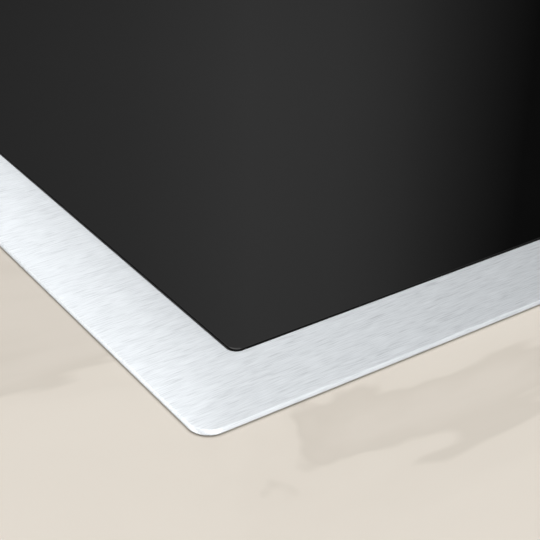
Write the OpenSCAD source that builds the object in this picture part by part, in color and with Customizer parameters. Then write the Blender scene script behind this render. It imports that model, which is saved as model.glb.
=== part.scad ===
// Drop-in induction cooktop: a glass-ceramic top in a wide stainless trim frame, over a
// sheet-steel burner box with four sprung coils, two blowers and the electronics.
// Millimetres. +Z up, front is -Y. The origin is under the middle, on the box's floor.

/* [Trim frame] */
// Width of the trim frame, left to right
overall_w = 768; // [764:1:790]
// Depth of the trim frame, front to back
overall_d = 527; // [525:1:545]
// Height from the burner box's floor to the top of the glass
overall_h = 64; // [63:0.5:70]
// Width of the trim frame's visible face
face_w = 18; // [17:0.5:22]
// Thickness of the trim frame's sheet
sheet_t = 1; // [0.8:0.1:1.2]
// Radius of the trim frame's outer corners
outer_r = 4.1; // [3:0.1:8]
// Radius of the corners of the glass opening
opening_r = 2.2; // [1.5:0.1:4]
// Width of the ledge that carries the glass
ledge_w = 12; // [11:0.5:13]
// Height of the down-turned skirt
skirt_h = 12; // [11:0.5:13]

/* [Glass and seals] */
// Thickness of the glass-ceramic top
glass_t = 4; // [4:0.5:4.5]
// Joint between the glass and the trim frame
glass_joint = 0.4; // [0.3:0.1:0.8]
// Thickness of the worktop gasket
gasket_t = 0.4; // [0.3:0.1:1]
// Width of the worktop gasket
gasket_w = 11; // [8:1:12]

/* [Burner box] */
// Thickness of the burner box's sheet
box_t = 0.8; // [0.6:0.1:1]
// Number of vent slots in each rear bank
rear_vents = 10; // [6:1:12]
// Number of vent slots in each side bank
side_vents = 6; // [4:1:7]

/* [Coils] */
// Distance of the coil centres from the middle, left and right
coil_x = 215; // [213:1:217]
// Distance of the front coils in front of the middle
front_coil_y = 85; // [84:1:87]
// Distance of the rear coils behind the middle
rear_coil_y = 121; // [119:1:122]
// Radius of the rear left winding
large_r = 104; // [98:1:105]
// Radius of the front left and rear right windings
medium_r = 90; // [84:1:92]
// Radius of the front right winding
small_r = 72; // [66:1:80]
// Radius of the hole in the middle of each winding
winding_hole_r = 24; // [20:1:28]
// Height of the windings
winding_t = 6; // [5:0.5:6]
// Number of ferrite bars under each coil
ferrite_count = 8; // [6:1:10]

/* [Blowers] */
// Radius of the blower wheels
rotor_r = 40; // [36:1:42]
// Height of the blower wheels
rotor_h = 21; // [18:1:21]
// Number of blades on each blower wheel
blade_count = 22; // [16:2:28]
// Radius of the blower shafts
shaft_r = 1.5; // [1:0.25:2]
// Radial running clearance of the blower shafts
shaft_clearance = 0.04; // [0.02:0.01:0.08]

/* [Side clips] */
// Width of each side clip
clip_w = 36; // [30:1:40]
// Distance of the clips in front of and behind the middle
clip_y = 120; // [110:1:130]
// How far the clips stand out from the box's wall
clip_reach = 16.2; // [14:0.2:17]

/* [Terminal box] */
// Width of the terminal cover
cover_w = 92; // [84:1:96]
// Height of the terminal cover
cover_h = 32; // [30:1:34]
// Bore radius of the cable gland
gland_bore_r = 8; // [6:0.5:8.5]

/* [Hidden] */
$fn = 48;
eps = 0.01;
fit_gap = 0.1;

// Heights, worked down from the top of the glass
top_z = overall_h;
glass_z = top_z - glass_t;
seal_t = 0.5;
ledge_top_z = glass_z - seal_t;
ledge_z = ledge_top_z - sheet_t;
skirt_z = ledge_z - skirt_h;
gasket_z = top_z - sheet_t - gasket_t;

// Outlines
opening_w = overall_w - 2 * face_w;
opening_d = overall_d - 2 * face_w;
skirt_w = opening_w - 2 * ledge_w;
skirt_d = opening_d - 2 * ledge_w;
skirt_r = 3;
box_in_w = skirt_w + 2 * fit_gap;
box_in_d = skirt_d + 2 * fit_gap;
box_w = box_in_w + 2 * box_t;
box_d = box_in_d + 2 * box_t;
box_r = skirt_r + fit_gap + box_t;
box_top_z = ledge_z - fit_gap;

// Side screws
screw_z = ledge_z - skirt_h / 2;
screw_r = 1.6;
screw_head_r = 3.6;
screw_head_h = 2.2;
screw_xs = [-280, 0, 280];
screw_ys = [-190, 0, 190];

// Coil stack, from the mica sheet down to the tray
left = -1;
right = 1;
stack_gap = 0.3;
mica_t = 0.6;
mica_z = glass_z - stack_gap - mica_t;
winding_z = mica_z - winding_t;
former_t = 3;
former_floor = 1.2;
former_z = winding_z - former_t;
ferrite_t = 5;
ferrite_z = former_z - ferrite_t;
tray_t = 2;
tray_z = ferrite_z - tray_t;
front_left_coil = [-coil_x, -front_coil_y, medium_r];
rear_left_coil = [-coil_x, rear_coil_y, large_r];
front_right_coil = [coil_x, -front_coil_y, small_r];
rear_right_coil = [coil_x, rear_coil_y, medium_r];

// Coil trays, posts and springs
tray_w = 228;
tray_d = 412;
tray_y = 24;
tray_flange_h = 7;
post_dx = tray_w / 2 - 9;
post_dy = tray_d / 2 - 9;
post_r = 3;
post_seat_z = 12;
spring_in_r = 3.6;
spring_out_r = 4.9;

// Blowers
fan_x = coil_x;
fan_y = 128;
fan_wall = 1.5;
fan_in_r = rotor_r + 8;
fan_out_r = fan_in_r + fan_wall;
fan_duct = 62;
fan_floor_z = box_t;
fan_wall_h = 26;
fan_cover_z = fan_floor_z + fan_wall + fan_wall_h;
rotor_z = 4.4;
rotor_sheet = 1.2;
cup_r = 16;
cup_z = rotor_z + 8;
motor_r = 13.5;
motor_z = cup_z + 4;
bearing_r = 3.5;

// Electronics
board_t = 1.6;
board_z = 8;
board_top_z = board_z + board_t;
power_board_w = 188;
power_board_d = 196;
power_board_y = -52;
filter_board_w = 132;
filter_board_d = 150;
filter_board_y = 70;
sink_w = 78;
sink_d = 160;
sink_h = 24;
fin_count = 12;
link_y = 20;
link_plug_w = 10;
link_plug_d = 30;
link_start = 60;
link_plug_x = 88;
control_w = 198;
control_d = 56;
control_y = -201;
control_z = ledge_z - 14;
control_board_z = control_z + 6;

// Terminal box, in the middle of the rear wall
terminal_x = -10;
terminal_z = 6;
terminal_depth = 34;
cover_t = 2;
cover_gap = 0.4;
hinge_r = 2.2;
pin_r = 1;
pin_gap = 0.05;
rear_face_y = box_d / 2;
hinge_y = rear_face_y + 3.2;
hinge_z = terminal_z - 1.5;
lug_w = 8;
lug_foot_t = 1.6;
lug_dx = cover_w / 2 - 6;
gland_x = 66;
gland_z = 20;
gland_r = 10;
gland_flange_r = 13;
gland_out = 13;
gland_in = 9;

// A rectangle with round corners
module rounded(w, d, r) {
    square([w - 2 * r, d], center = true);
    square([w, d - 2 * r], center = true);
    for (sx = [left, right], sy = [-1, 1])
        translate([sx * (w / 2 - r), sy * (d / 2 - r)]) circle(r);
}

// A plate with round corners, standing at height z
module plate(w, d, h, r, z) {
    translate([0, 0, z]) linear_extrude(h) rounded(w, d, r);
}

// A rectangular ring with round corners, standing at height z
module ring(w, d, h, r, band, z) {
    difference() {
        plate(w, d, h, r, z);
        plate(w - 2 * band, d - 2 * band, h + 2 * eps, max(r - band, 0.8), z - eps);
    }
}

// A tube along Z
module tube(out_r, in_r, h) {
    difference() {
        cylinder(r = out_r, h = h);
        translate([0, 0, -eps]) cylinder(r = in_r, h = h + 2 * eps);
    }
}

// A block centred in X and Y that stands at height z
module block(x, y, z, w, d, h) {
    translate([x - w / 2, y - d / 2, z]) cube([w, d, h]);
}

// The outline of a strip of thickness t that follows a path of points
function unit(v) = v / norm(v);
function left_of(v) = [-v[1], v[0]];
function strip_point(path, i, side) =
    let (
        n = len(path),
        before = unit(i == 0 ? path[1] - path[0] : path[i] - path[i - 1]),
        after = unit(i == n - 1 ? path[n - 1] - path[n - 2] : path[i + 1] - path[i]),
        mitre = unit(left_of(before) + left_of(after))
    )
    path[i] + side * mitre / (mitre * left_of(before));
module strip(path, t) {
    n = len(path);
    polygon(concat(
        [for (i = [0:n - 1]) strip_point(path, i, t / 2)],
        [for (i = [n - 1:-1:0]) strip_point(path, i, -t / 2)]
    ));
}

// Places children at each side screw, with +Z pointing out of the wall
module at_side_screws() {
    for (sx = [left, right], y = screw_ys)
        translate([sx * box_w / 2, y, screw_z]) rotate([0, sx * 90, 0]) children();
    for (sy = [-1, 1], x = screw_xs)
        translate([x, sy * box_d / 2, screw_z]) rotate([-sy * 90, 0, 0]) children();
}

// --- Top ---

module trim_frame() {
    color("silver")
    difference() {
        union() {
            ring(overall_w, overall_d, sheet_t, outer_r, face_w, top_z - sheet_t);
            ring(opening_w + 2 * sheet_t, opening_d + 2 * sheet_t, top_z - ledge_z,
                opening_r + sheet_t, sheet_t, ledge_z);
            ring(opening_w + 2 * sheet_t, opening_d + 2 * sheet_t, sheet_t,
                opening_r + sheet_t, ledge_w + 2 * sheet_t, ledge_z);
            ring(skirt_w, skirt_d, skirt_h + sheet_t, skirt_r, sheet_t, skirt_z);
        }
        at_side_screws() translate([0, 0, -6]) cylinder(r = screw_r + fit_gap, h = 8);
    }
}

module glass_top() {
    color("black")
    plate(opening_w - 2 * glass_joint, opening_d - 2 * glass_joint, glass_t,
        opening_r - glass_joint, glass_z);
}

// Silicone under the glass's edge and up its joint, a little below the top
module glass_seal() {
    joint_gap = 0.03;
    bed_w = 8;
    joint_recess = 0.3;
    color("dimgray")
    union() {
        ring(opening_w - 2 * joint_gap, opening_d - 2 * joint_gap, seal_t,
            opening_r - joint_gap, bed_w, ledge_top_z);
        ring(opening_w - 2 * joint_gap, opening_d - 2 * joint_gap,
            seal_t + glass_t - joint_recess, opening_r - joint_gap,
            glass_joint - 2 * joint_gap, ledge_top_z);
    }
}

module worktop_gasket() {
    edge_inset = 1;
    color("darkolivegreen")
    ring(overall_w - 2 * edge_inset, overall_d - 2 * edge_inset, gasket_t,
        outer_r - edge_inset, gasket_w, gasket_z);
}

// --- Burner box ---

module clip_slots() {
    for (sx = [left, right], sy = [-1, 1])
        block(sx * (box_w - box_t) / 2, sy * clip_y, clip_pivot_z - clip_slot_h / 2,
            4 * box_t, clip_w + 1, clip_slot_h);
}

// Slots across the floor under each blower, shortened to fit a circle
module floor_grille() {
    grille_r = 36;
    slot_w = 3.6;
    slot_pitch = 8;
    for (side = [left, right], i = [-4:4]) {
        reach = sqrt(pow(grille_r, 2) - pow(i * slot_pitch, 2));
        block(side * fan_x, fan_y + i * slot_pitch, -1, 2 * reach, slot_w, box_t + 2);
    }
}

module wall_vents() {
    rear_pitch = 9;
    side_pitch = 9;
    slot_w = 3;
    slot_h = 22;
    for (side = [left, right], i = [0:rear_vents - 1])
        block(side * (150 + i * rear_pitch), rear_face_y, 20, slot_w, 8, slot_h);
    for (side = [left, right], i = [0:side_vents - 1])
        block(side * box_w / 2, (i - (side_vents - 1) / 2) * side_pitch - 60,
            20, 8, slot_w, slot_h);
}

module burner_box() {
    color("lightgray")
    difference() {
        plate(box_w, box_d, box_top_z, box_r, 0);
        plate(box_in_w, box_in_d, box_top_z, box_r - box_t, box_t);
        at_side_screws() translate([0, 0, -4]) cylinder(r = screw_r + 2 * fit_gap, h = 8);
        clip_slots();
        floor_grille();
        wall_vents();
        block(terminal_x, rear_face_y, terminal_z + 2, cover_w - 8, 8, cover_h - 8);
        for (sx = [-1, 1])
            block(terminal_x + sx * lug_dx, rear_face_y, terminal_z - 2 - fit_gap,
                lug_w + 2 * fit_gap, 8, lug_foot_t + 2 * fit_gap);
        translate([gland_x, rear_face_y - 4, gland_z]) rotate([-90, 0, 0])
            cylinder(r = gland_r + fit_gap, h = 8);
    }
}

// A pan-head screw along Z: its head above z = 0 and its shank below
module pan_screw(shank_r, shank_l, head_r, head_h) {
    recess_w = head_r * 0.22;
    difference() {
        union() {
            translate([0, 0, -shank_l]) cylinder(r = shank_r, h = shank_l + eps);
            cylinder(r = head_r, h = head_h);
        }
        for (turn = [0, 90])
            rotate(turn) block(0, 0, head_h * 0.45, head_r * 1.2, recess_w, head_h);
    }
}

module side_screws() {
    color("gainsboro")
    at_side_screws() pan_screw(screw_r, 5, screw_head_r, screw_head_h);
}

// --- Side clips: spring strips hooked into a slot low in the wall ---

clip_t = 0.8;
clip_slot_h = 2;
clip_pivot_z = 14;
clip_hook = 2;
clip_top_out = 9.6;
clip_top_up = 37;
clip_belly_up = 24;

module clip(side, y) {
    color("slategray")
    translate([side * (box_w - box_t) / 2, y * clip_y, clip_pivot_z])
        rotate([0, 0, side < 0 ? 180 : 0]) translate([0, clip_w / 2, 0])
            rotate([90, 0, 0]) linear_extrude(clip_w)
                strip([[-clip_hook, -3.5], [-clip_hook, 0], [1.4, 0],
                    [clip_reach, clip_belly_up], [clip_top_out, clip_top_up]], clip_t);
}

// --- Coil trays and their springs ---

module at_posts(side) {
    for (sx = [-1, 1], sy = [-1, 1])
        translate([side * coil_x + sx * post_dx, tray_y + sy * post_dy, 0]) children();
}

module coil_tray(side, coils) {
    tray_r = 8;
    flange_t = 1.5;
    color("silver")
    difference() {
        union() {
            translate([side * coil_x, tray_y, 0]) plate(tray_w, tray_d, tray_t, tray_r, tray_z);
            for (sx = [-1, 1])
                block(side * coil_x + sx * (tray_w - flange_t) / 2, tray_y,
                    tray_z - tray_flange_h, flange_t, tray_d - 5 * tray_r,
                    tray_flange_h + eps);
        }
        for (c = coils)
            translate([c[0], c[1], tray_z - 1]) cylinder(r = winding_hole_r, h = tray_t + 2);
        at_posts(side) translate([0, 0, tray_z - 1]) cylinder(r = post_r + 0.5, h = tray_t + 2);
    }
}

// Shoulder posts with a wide foot that seats a spring and a head that keeps the tray
module tray_posts() {
    head_z = tray_z + tray_t + 0.5;
    color("gray")
    for (side = [left, right])
        at_posts(side) {
            translate([0, 0, box_t]) cylinder(r = 6.5, h = post_seat_z - box_t);
            translate([0, 0, box_t]) cylinder(r = post_r, h = head_z - box_t + eps);
            translate([0, 0, head_z]) cylinder(r = 5, h = 1.5);
        }
}

// Each spring is the tube that its wire fills
module tray_springs(side) {
    color("gray")
    at_posts(side) translate([0, 0, post_seat_z])
        tube(spring_out_r, spring_in_r, tray_z - post_seat_z);
}

// --- Coils ---

module mica(c) {
    color("wheat")
    translate([c[0], c[1], mica_z]) tube(c[2] + 4, 6, mica_t);
}

module winding(c) {
    color("peru")
    translate([c[0], c[1], winding_z]) tube(c[2], winding_hole_r, winding_t);
}

// A spoked disc under the winding, with a tube in its middle for the sensor
module former(c) {
    window_count = 8;
    tube_r = 12;
    color("ivory")
    translate([c[0], c[1], former_z])
    difference() {
        union() {
            cylinder(r = c[2] + 3, h = former_t);
            cylinder(r = tube_r, h = former_t + winding_t - 0.5);
        }
        translate([0, 0, former_floor]) cylinder(r = tube_r - 2, h = former_t + winding_t);
        for (i = [0:window_count - 1])
            rotate((i + 0.5) * 360 / window_count)
                block((c[2] + winding_hole_r) / 2 + 6, 0, -1, c[2] - 50, 14, former_t + 2);
    }
}

module ferrites(coils) {
    bar_w = 12;
    color("darkslategray")
    for (c = coils, i = [0:ferrite_count - 1])
        translate([c[0], c[1], ferrite_z]) rotate(i * 360 / ferrite_count)
            translate([winding_hole_r + 4, -bar_w / 2, 0])
                cube([c[2] - winding_hole_r - 6, bar_w, ferrite_t]);
}

// Thermistor capsules on stalks in the middle of the coils
module sensors(coils) {
    stalk_l = 4;
    color("white")
    for (c = coils)
        translate([c[0], c[1], former_z + former_floor]) {
            cylinder(r = 2, h = stalk_l + eps);
            translate([0, 0, stalk_l])
                cylinder(r = 4.5, h = mica_z + mica_t - former_z - former_floor - stalk_l);
        }
}

// --- Blowers ---

module fan_outline(r) {
    circle(r);
    translate([-r, -fan_duct]) square([2 * r, fan_duct]);
}

// A scroll tray with its inlet in the floor and its outlet to the front
module fan_housing(side) {
    inlet_r = rotor_r - 12;
    color("dimgray")
    translate([side * fan_x, fan_y, fan_floor_z])
    difference() {
        linear_extrude(fan_wall + fan_wall_h) fan_outline(fan_out_r);
        translate([0, 0, fan_wall]) linear_extrude(fan_wall_h + 1) union() {
            circle(fan_in_r);
            translate([-fan_in_r, -fan_duct - 1]) square([2 * fan_in_r, fan_duct + 1]);
        }
        translate([0, 0, -1]) cylinder(r = inlet_r, h = fan_wall + 2);
    }
}

module fan_covers() {
    color("dimgray")
    for (side = [left, right])
        translate([side * fan_x, fan_y, fan_cover_z]) linear_extrude(fan_wall)
            fan_outline(fan_out_r);
}

// Stators that hang from the covers, inside the wheels' cups
module fan_motors() {
    color("darkgoldenrod")
    for (side = [left, right])
        translate([side * fan_x, fan_y, motor_z]) tube(motor_r, bearing_r, fan_cover_z - motor_z);
}

module fan_bearings() {
    bearing_seat_gap = 0.02;
    color("goldenrod")
    for (side = [left, right])
        translate([side * fan_x, fan_y, motor_z])
            tube(bearing_r - bearing_seat_gap, shaft_r + shaft_clearance,
                fan_cover_z - motor_z - 1);
}

module fan_rotor(side) {
    blade_t = 0.9;
    blade_l = 10;
    blade_in_r = rotor_r - 9.5;
    blade_turn = 28;
    rim_z = rotor_h - rotor_sheet;
    cup_floor = cup_z - rotor_z;
    color("whitesmoke")
    translate([side * fan_x, fan_y, rotor_z])
    difference() {
        union() {
            translate([0, 0, rim_z]) tube(rotor_r, cup_r - rotor_sheet, rotor_sheet);
            tube(rotor_r, rotor_r - rotor_sheet, rotor_sheet);
            translate([0, 0, cup_floor]) tube(cup_r, cup_r - rotor_sheet, rotor_h - cup_floor);
            translate([0, 0, cup_floor]) cylinder(r = cup_r, h = rotor_sheet);
            translate([0, 0, cup_floor]) cylinder(r = 4, h = rotor_sheet + 1.5);
            for (i = [0:blade_count - 1])
                rotate(i * 360 / blade_count) translate([blade_in_r, 0, 0]) rotate(blade_turn)
                    cube([blade_l, blade_t, rotor_h - eps]);
        }
        translate([0, 0, cup_floor - 1]) cylinder(r = shaft_r + 0.01, h = 6);
    }
}

module fan_shaft(side) {
    shaft_top_gap = 2;
    color("silver")
    translate([side * fan_x, fan_y, cup_z])
        cylinder(r = shaft_r, h = fan_cover_z - cup_z - shaft_top_gap);
}

// --- Electronics ---

module board(x, y, w, d) {
    hole_inset = 5;
    difference() {
        block(x, y, board_z, w, d, board_t);
        for (sx = [-1, 1], sy = [-1, 1])
            translate([x + sx * (w / 2 - hole_inset), y + sy * (d / 2 - hole_inset), board_z - 1])
                cylinder(r = 1.6, h = board_t + 2);
    }
}

module at_board_corners() {
    inset = 5;
    for (sx = [-1, 1], sy = [-1, 1]) {
        for (side = [left, right])
            translate([side * coil_x + sx * (power_board_w / 2 - inset),
                power_board_y + sy * (power_board_d / 2 - inset), 0]) children();
        translate([sx * (filter_board_w / 2 - inset),
            filter_board_y + sy * (filter_board_d / 2 - inset), 0]) children();
    }
}

module power_board(side) {
    color("darkgreen") board(side * coil_x, power_board_y, power_board_w, power_board_d);
}

module filter_board() {
    color("darkgreen") board(0, filter_board_y, filter_board_w, filter_board_d);
}

module board_spacers() {
    color("gainsboro")
    at_board_corners() translate([0, 0, box_t]) tube(3, 1.5, board_z - box_t);
}

module board_screws() {
    color("gold")
    at_board_corners() translate([0, 0, board_top_z]) pan_screw(1.4, 6, 2.7, 1.8);
}

// An extruded sink with fins along Y, in the blower's stream
module heat_sink(side) {
    base_t = 4;
    fin_t = 1.6;
    fin_pitch = (sink_w - fin_t) / (fin_count - 1);
    color("silver")
    translate([side * coil_x, power_board_y, board_top_z]) union() {
        block(0, 0, 0, sink_w, sink_d, base_t);
        for (i = [0:fin_count - 1])
            block(-sink_w / 2 + fin_t / 2 + i * fin_pitch, 0, base_t - eps, fin_t, sink_d,
                sink_h - base_t);
    }
}

// Capacitors, chokes, relays and connectors on each power board
module power_parts(side) {
    color("dimgray")
    translate([side * coil_x, power_board_y, board_top_z]) {
        for (i = [0:3]) block(-66, -70 + i * 38, 0, 22, 30, 21);
        for (i = [0:2]) translate([62, -66 + i * 32, 0]) cylinder(r = 11, h = 24);
        for (i = [0, 1]) translate([66, 34 + i * 34, 0]) tube(14, 6, 13);
        block(-66, 78, 0, 26, 14, 12);
        for (i = [-1:1]) block(i * 24, -sink_d / 2 - 6, 0, 16, 6, 20);
        block(-side * link_plug_x, link_y - power_board_y, 0, link_plug_w, link_plug_d, 9);
    }
}

module filter_parts() {
    color("dimgray")
    translate([0, filter_board_y, board_top_z]) {
        for (sx = [-1, 1]) translate([sx * 38, 38, 0]) tube(19, 9, 17);
        for (i = [0:2]) block(-34 + i * 34, -2, 0, 26, 15, 18);
        for (sx = [-1, 1]) block(sx * 37, -34, 0, 30, 24, 17);
        block(0, -36, 0, 24, 30, 20);
        block(0, -66, 0, 34, 8, 8);
        for (sx = [-1, 1])
            block(sx * link_start, link_y - filter_board_y, 0, link_plug_w, link_plug_d, 9);
    }
}

// A flat ribbon from the control housing to the filter board, and leads to the power boards
module internal_cables() {
    ribbon_w = 26;
    ribbon_t = 0.9;
    ribbon_z = board_top_z + 8 + ribbon_t / 2;
    housing_back_y = control_y + control_d / 2;
    lead_r = 1.3;
    lead_pitch = 6;
    lead_z = board_top_z + 4.5;
    color("gray")
    translate([-ribbon_w / 2, 0, 0]) rotate([90, 0, 90]) linear_extrude(ribbon_w)
        strip([[housing_back_y + 0.2, control_z + 3], [housing_back_y + 10, control_z + 3],
            [housing_back_y + 22, ribbon_z + 6], [housing_back_y + 36, ribbon_z],
            [filter_board_y - 62, ribbon_z]], ribbon_t);
    color("firebrick")
    for (side = [left, right], i = [-2:2])
        translate([side * (link_start + link_plug_w / 2), link_y + i * lead_pitch, lead_z])
            rotate([0, side * 90, 0])
                cylinder(r = lead_r, h = coil_x - link_plug_x - link_start - link_plug_w);
}

module control_housing() {
    wall = 1.6;
    leg_r = 4;
    housing_h = ledge_z - control_z - 1;
    color("whitesmoke")
    difference() {
        union() {
            block(0, control_y, control_z, control_w, control_d, housing_h);
            for (sx = [-1, 1], sy = [-1, 1])
                translate([sx * (control_w / 2 - 10), control_y + sy * (control_d / 2 - 10), box_t])
                    cylinder(r = leg_r, h = control_z - box_t + eps);
        }
        block(0, control_y, control_board_z, control_w - 2 * wall, control_d - 2 * wall, 20);
        block(0, control_y, control_z + wall, control_w - 6 * wall, control_d - 6 * wall, 20);
    }
}

module control_board() {
    color("darkgreen")
    block(0, control_y, control_board_z, control_w - 4, control_d - 4, board_t);
}

touch_count = 11;
touch_pitch = 15;

module touch_springs() {
    touch_z = control_board_z + board_t;
    color("gold")
    for (i = [0:touch_count - 1])
        translate([(i - (touch_count - 1) / 2) * touch_pitch, control_y - 14, touch_z])
            tube(4, 2.8, glass_z - 0.2 - touch_z);
}

module displays() {
    display_z = control_board_z + board_t;
    color("black")
    for (i = [-2:2])
        block(i * 36, control_y + 8, display_z, 18, 14, glass_z - 1 - display_z);
}

// --- Terminal box ---

// A plastic box behind the rear wall, with hinge lugs under its opening
module terminal_box() {
    wall = 2;
    box_l = 152;
    box_x = terminal_x + 26;
    box_h = cover_h + 2;
    inner_y = box_in_d / 2;
    color("darkslategray")
    difference() {
        union() {
            difference() {
                block(box_x, inner_y - terminal_depth / 2, terminal_z - 2, box_l, terminal_depth,
                    box_h);
                block(box_x, inner_y - terminal_depth / 2 + wall, terminal_z - 2 + wall,
                    box_l - 2 * wall, terminal_depth, box_h - 2 * wall);
            }
            for (sx = [-1, 1]) hinge_lug(terminal_x + sx * lug_dx, lug_w);
        }
        translate([terminal_x - cover_w, hinge_y, hinge_z]) rotate([0, 90, 0])
            cylinder(r = pin_r + 0.02, h = 2 * cover_w);
    }
}

// A lug round the hinge pin, on a foot that passes under the cover and through the wall
module hinge_lug(x, w) {
    foot_back_y = box_in_d / 2 - 3;
    translate([x - w / 2, hinge_y, hinge_z]) rotate([0, 90, 0]) cylinder(r = hinge_r, h = w);
    block(x, (foot_back_y + hinge_y) / 2, terminal_z - 2, w, hinge_y - foot_back_y, lug_foot_t);
}

module terminal_block() {
    block_w = 70;
    block_d = 18;
    block_h = 16;
    ways = 5;
    pitch = block_w / ways;
    color("ivory")
    translate([terminal_x, box_in_d / 2 - terminal_depth / 2 - 3, terminal_z])
    difference() {
        block(0, 0, 0, block_w, block_d, block_h);
        for (i = [0:ways - 1]) {
            wire_x = (i - (ways - 1) / 2) * pitch;
            translate([wire_x, 0, block_h / 2]) rotate([-90, 0, 0])
                cylinder(r = 2.6, h = block_d);
            translate([wire_x, 3, block_h - 5]) cylinder(r = 3, h = 8);
        }
    }
}

// The cover hangs on a knuckle between the lugs and opens out and down
module terminal_cover() {
    knuckle_w = cover_w - 24;
    cover_y = rear_face_y + cover_gap;
    color("dimgray")
    difference() {
        union() {
            block(terminal_x, cover_y + cover_t / 2, terminal_z + 1.5, cover_w, cover_t,
                cover_h - 2);
            block(terminal_x, cover_y + cover_t / 2, hinge_z, knuckle_w, cover_t,
                terminal_z + 2 - hinge_z);
            translate([terminal_x - knuckle_w / 2, hinge_y, hinge_z]) rotate([0, 90, 0])
                cylinder(r = hinge_r, h = knuckle_w);
        }
        translate([terminal_x - cover_w, hinge_y, hinge_z]) rotate([0, 90, 0])
            cylinder(r = pin_r + pin_gap, h = 2 * cover_w);
    }
}

module cover_pin() {
    pin_l = cover_w - 2;
    color("silver")
    translate([terminal_x - pin_l / 2, hinge_y, hinge_z]) rotate([0, 90, 0])
        cylinder(r = pin_r, h = pin_l);
}

// A gland body with a hex flange outside the wall and a nut inside the box
module cable_gland() {
    nut_h = 5;
    flange_h = 5;
    color("black")
    translate([gland_x, rear_face_y, gland_z]) rotate([-90, 0, 0]) {
        difference() {
            union() {
                translate([0, 0, -gland_in]) cylinder(r = gland_r, h = gland_in + flange_h);
                cylinder(r = gland_flange_r, h = flange_h, $fn = 6);
                cylinder(r = gland_r + 1, h = gland_out);
            }
            translate([0, 0, -gland_in - 1]) cylinder(r = gland_bore_r, h = gland_in + gland_out + 2);
        }
        translate([0, 0, -box_t - nut_h])
            difference() {
                cylinder(r = gland_flange_r, h = nut_h, $fn = 6);
                translate([0, 0, -1]) cylinder(r = gland_r + 0.02, h = nut_h + 2);
            }
    }
}

trim_frame();
glass_top();
glass_seal();
worktop_gasket();
burner_box();
side_screws();
clip(left, -1);  // clip_left_front
clip(left, 1);  // clip_left_rear
clip(right, -1);  // clip_right_front
clip(right, 1);  // clip_right_rear
coil_tray(left, [front_left_coil, rear_left_coil]);  // coil_tray_left
coil_tray(right, [front_right_coil, rear_right_coil]);  // coil_tray_right
tray_posts();
tray_springs(left);  // tray_springs_left
tray_springs(right);  // tray_springs_right
mica(front_left_coil);  // mica_front_left
mica(rear_left_coil);  // mica_rear_left
mica(front_right_coil);  // mica_front_right
mica(rear_right_coil);  // mica_rear_right
winding(front_left_coil);  // winding_front_left
winding(rear_left_coil);  // winding_rear_left
winding(front_right_coil);  // winding_front_right
winding(rear_right_coil);  // winding_rear_right
former(front_left_coil);  // former_front_left
former(rear_left_coil);  // former_rear_left
former(front_right_coil);  // former_front_right
former(rear_right_coil);  // former_rear_right
ferrites([front_left_coil, rear_left_coil]);  // ferrites_left
ferrites([front_right_coil, rear_right_coil]);  // ferrites_right
sensors([front_left_coil, rear_left_coil]);  // sensors_left
sensors([front_right_coil, rear_right_coil]);  // sensors_right
power_board(left);  // power_board_left
power_board(right);  // power_board_right
power_parts(left);  // power_parts_left
power_parts(right);  // power_parts_right
heat_sink(left);  // heat_sink_left
heat_sink(right);  // heat_sink_right
fan_housing(left);  // fan_housing_left
fan_housing(right);  // fan_housing_right
fan_covers();
fan_motors();
fan_bearings();
fan_rotor(left);  // fan_rotor_left
fan_rotor(right);  // fan_rotor_right
fan_shaft(left);  // fan_shaft_left
fan_shaft(right);  // fan_shaft_right
control_housing();
control_board();
touch_springs();
displays();
filter_board();
filter_parts();
board_spacers();
board_screws();
terminal_box();
terminal_block();
terminal_cover();
cover_pin();
cable_gland();
internal_cables();
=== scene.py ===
from math import copysign, cos, exp, pi, radians, sin, sqrt

import bmesh
import bpy
from mathutils import Matrix, Vector

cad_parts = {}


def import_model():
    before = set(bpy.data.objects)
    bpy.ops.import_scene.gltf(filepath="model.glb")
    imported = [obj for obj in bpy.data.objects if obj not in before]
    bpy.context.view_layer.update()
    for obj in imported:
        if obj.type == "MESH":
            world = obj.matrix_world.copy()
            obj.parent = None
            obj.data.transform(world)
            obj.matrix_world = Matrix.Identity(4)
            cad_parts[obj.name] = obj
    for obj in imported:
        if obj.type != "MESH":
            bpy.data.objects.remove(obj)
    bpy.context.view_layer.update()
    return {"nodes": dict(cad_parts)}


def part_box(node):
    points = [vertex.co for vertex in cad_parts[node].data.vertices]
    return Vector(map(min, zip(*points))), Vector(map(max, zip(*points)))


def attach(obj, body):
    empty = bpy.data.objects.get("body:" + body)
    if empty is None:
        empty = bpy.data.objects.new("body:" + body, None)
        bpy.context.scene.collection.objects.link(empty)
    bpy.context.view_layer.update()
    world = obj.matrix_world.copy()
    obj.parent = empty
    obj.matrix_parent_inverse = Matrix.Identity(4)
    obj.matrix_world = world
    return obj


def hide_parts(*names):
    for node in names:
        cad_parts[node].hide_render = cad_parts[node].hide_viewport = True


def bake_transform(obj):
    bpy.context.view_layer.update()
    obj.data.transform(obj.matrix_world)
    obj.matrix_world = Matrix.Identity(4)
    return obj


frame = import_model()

MM = 0.001
ROOT = "hob"
SIDES = {"left": -1, "right": 1}
IDENTITY = Matrix.Identity(4)
scene = bpy.context.scene
scene.view_settings.view_transform = "Standard"


# ---- mesh helpers

def outline(half_w, half_d, radius, steps=12):
    """Points round a rectangle with round corners, counter-clockwise."""
    points = []
    for sx, sy, start in ((-1, -1, 180), (1, -1, 270), (1, 1, 0), (-1, 1, 90)):
        for i in range(steps + 1):
            a = radians(start + 90 * i / steps)
            x = sx * (half_w - radius) + radius * cos(a)
            points.append((x, sy * (half_d - radius) + radius * sin(a)))
    return points


def arc(cx, cy, radius, start, end, steps=6):
    """Points along an arc, angles in degrees."""
    angles = [radians(start + (end - start) * i / steps) for i in range(steps + 1)]
    return [(cx + radius * cos(a), cy + radius * sin(a)) for a in angles]


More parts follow.
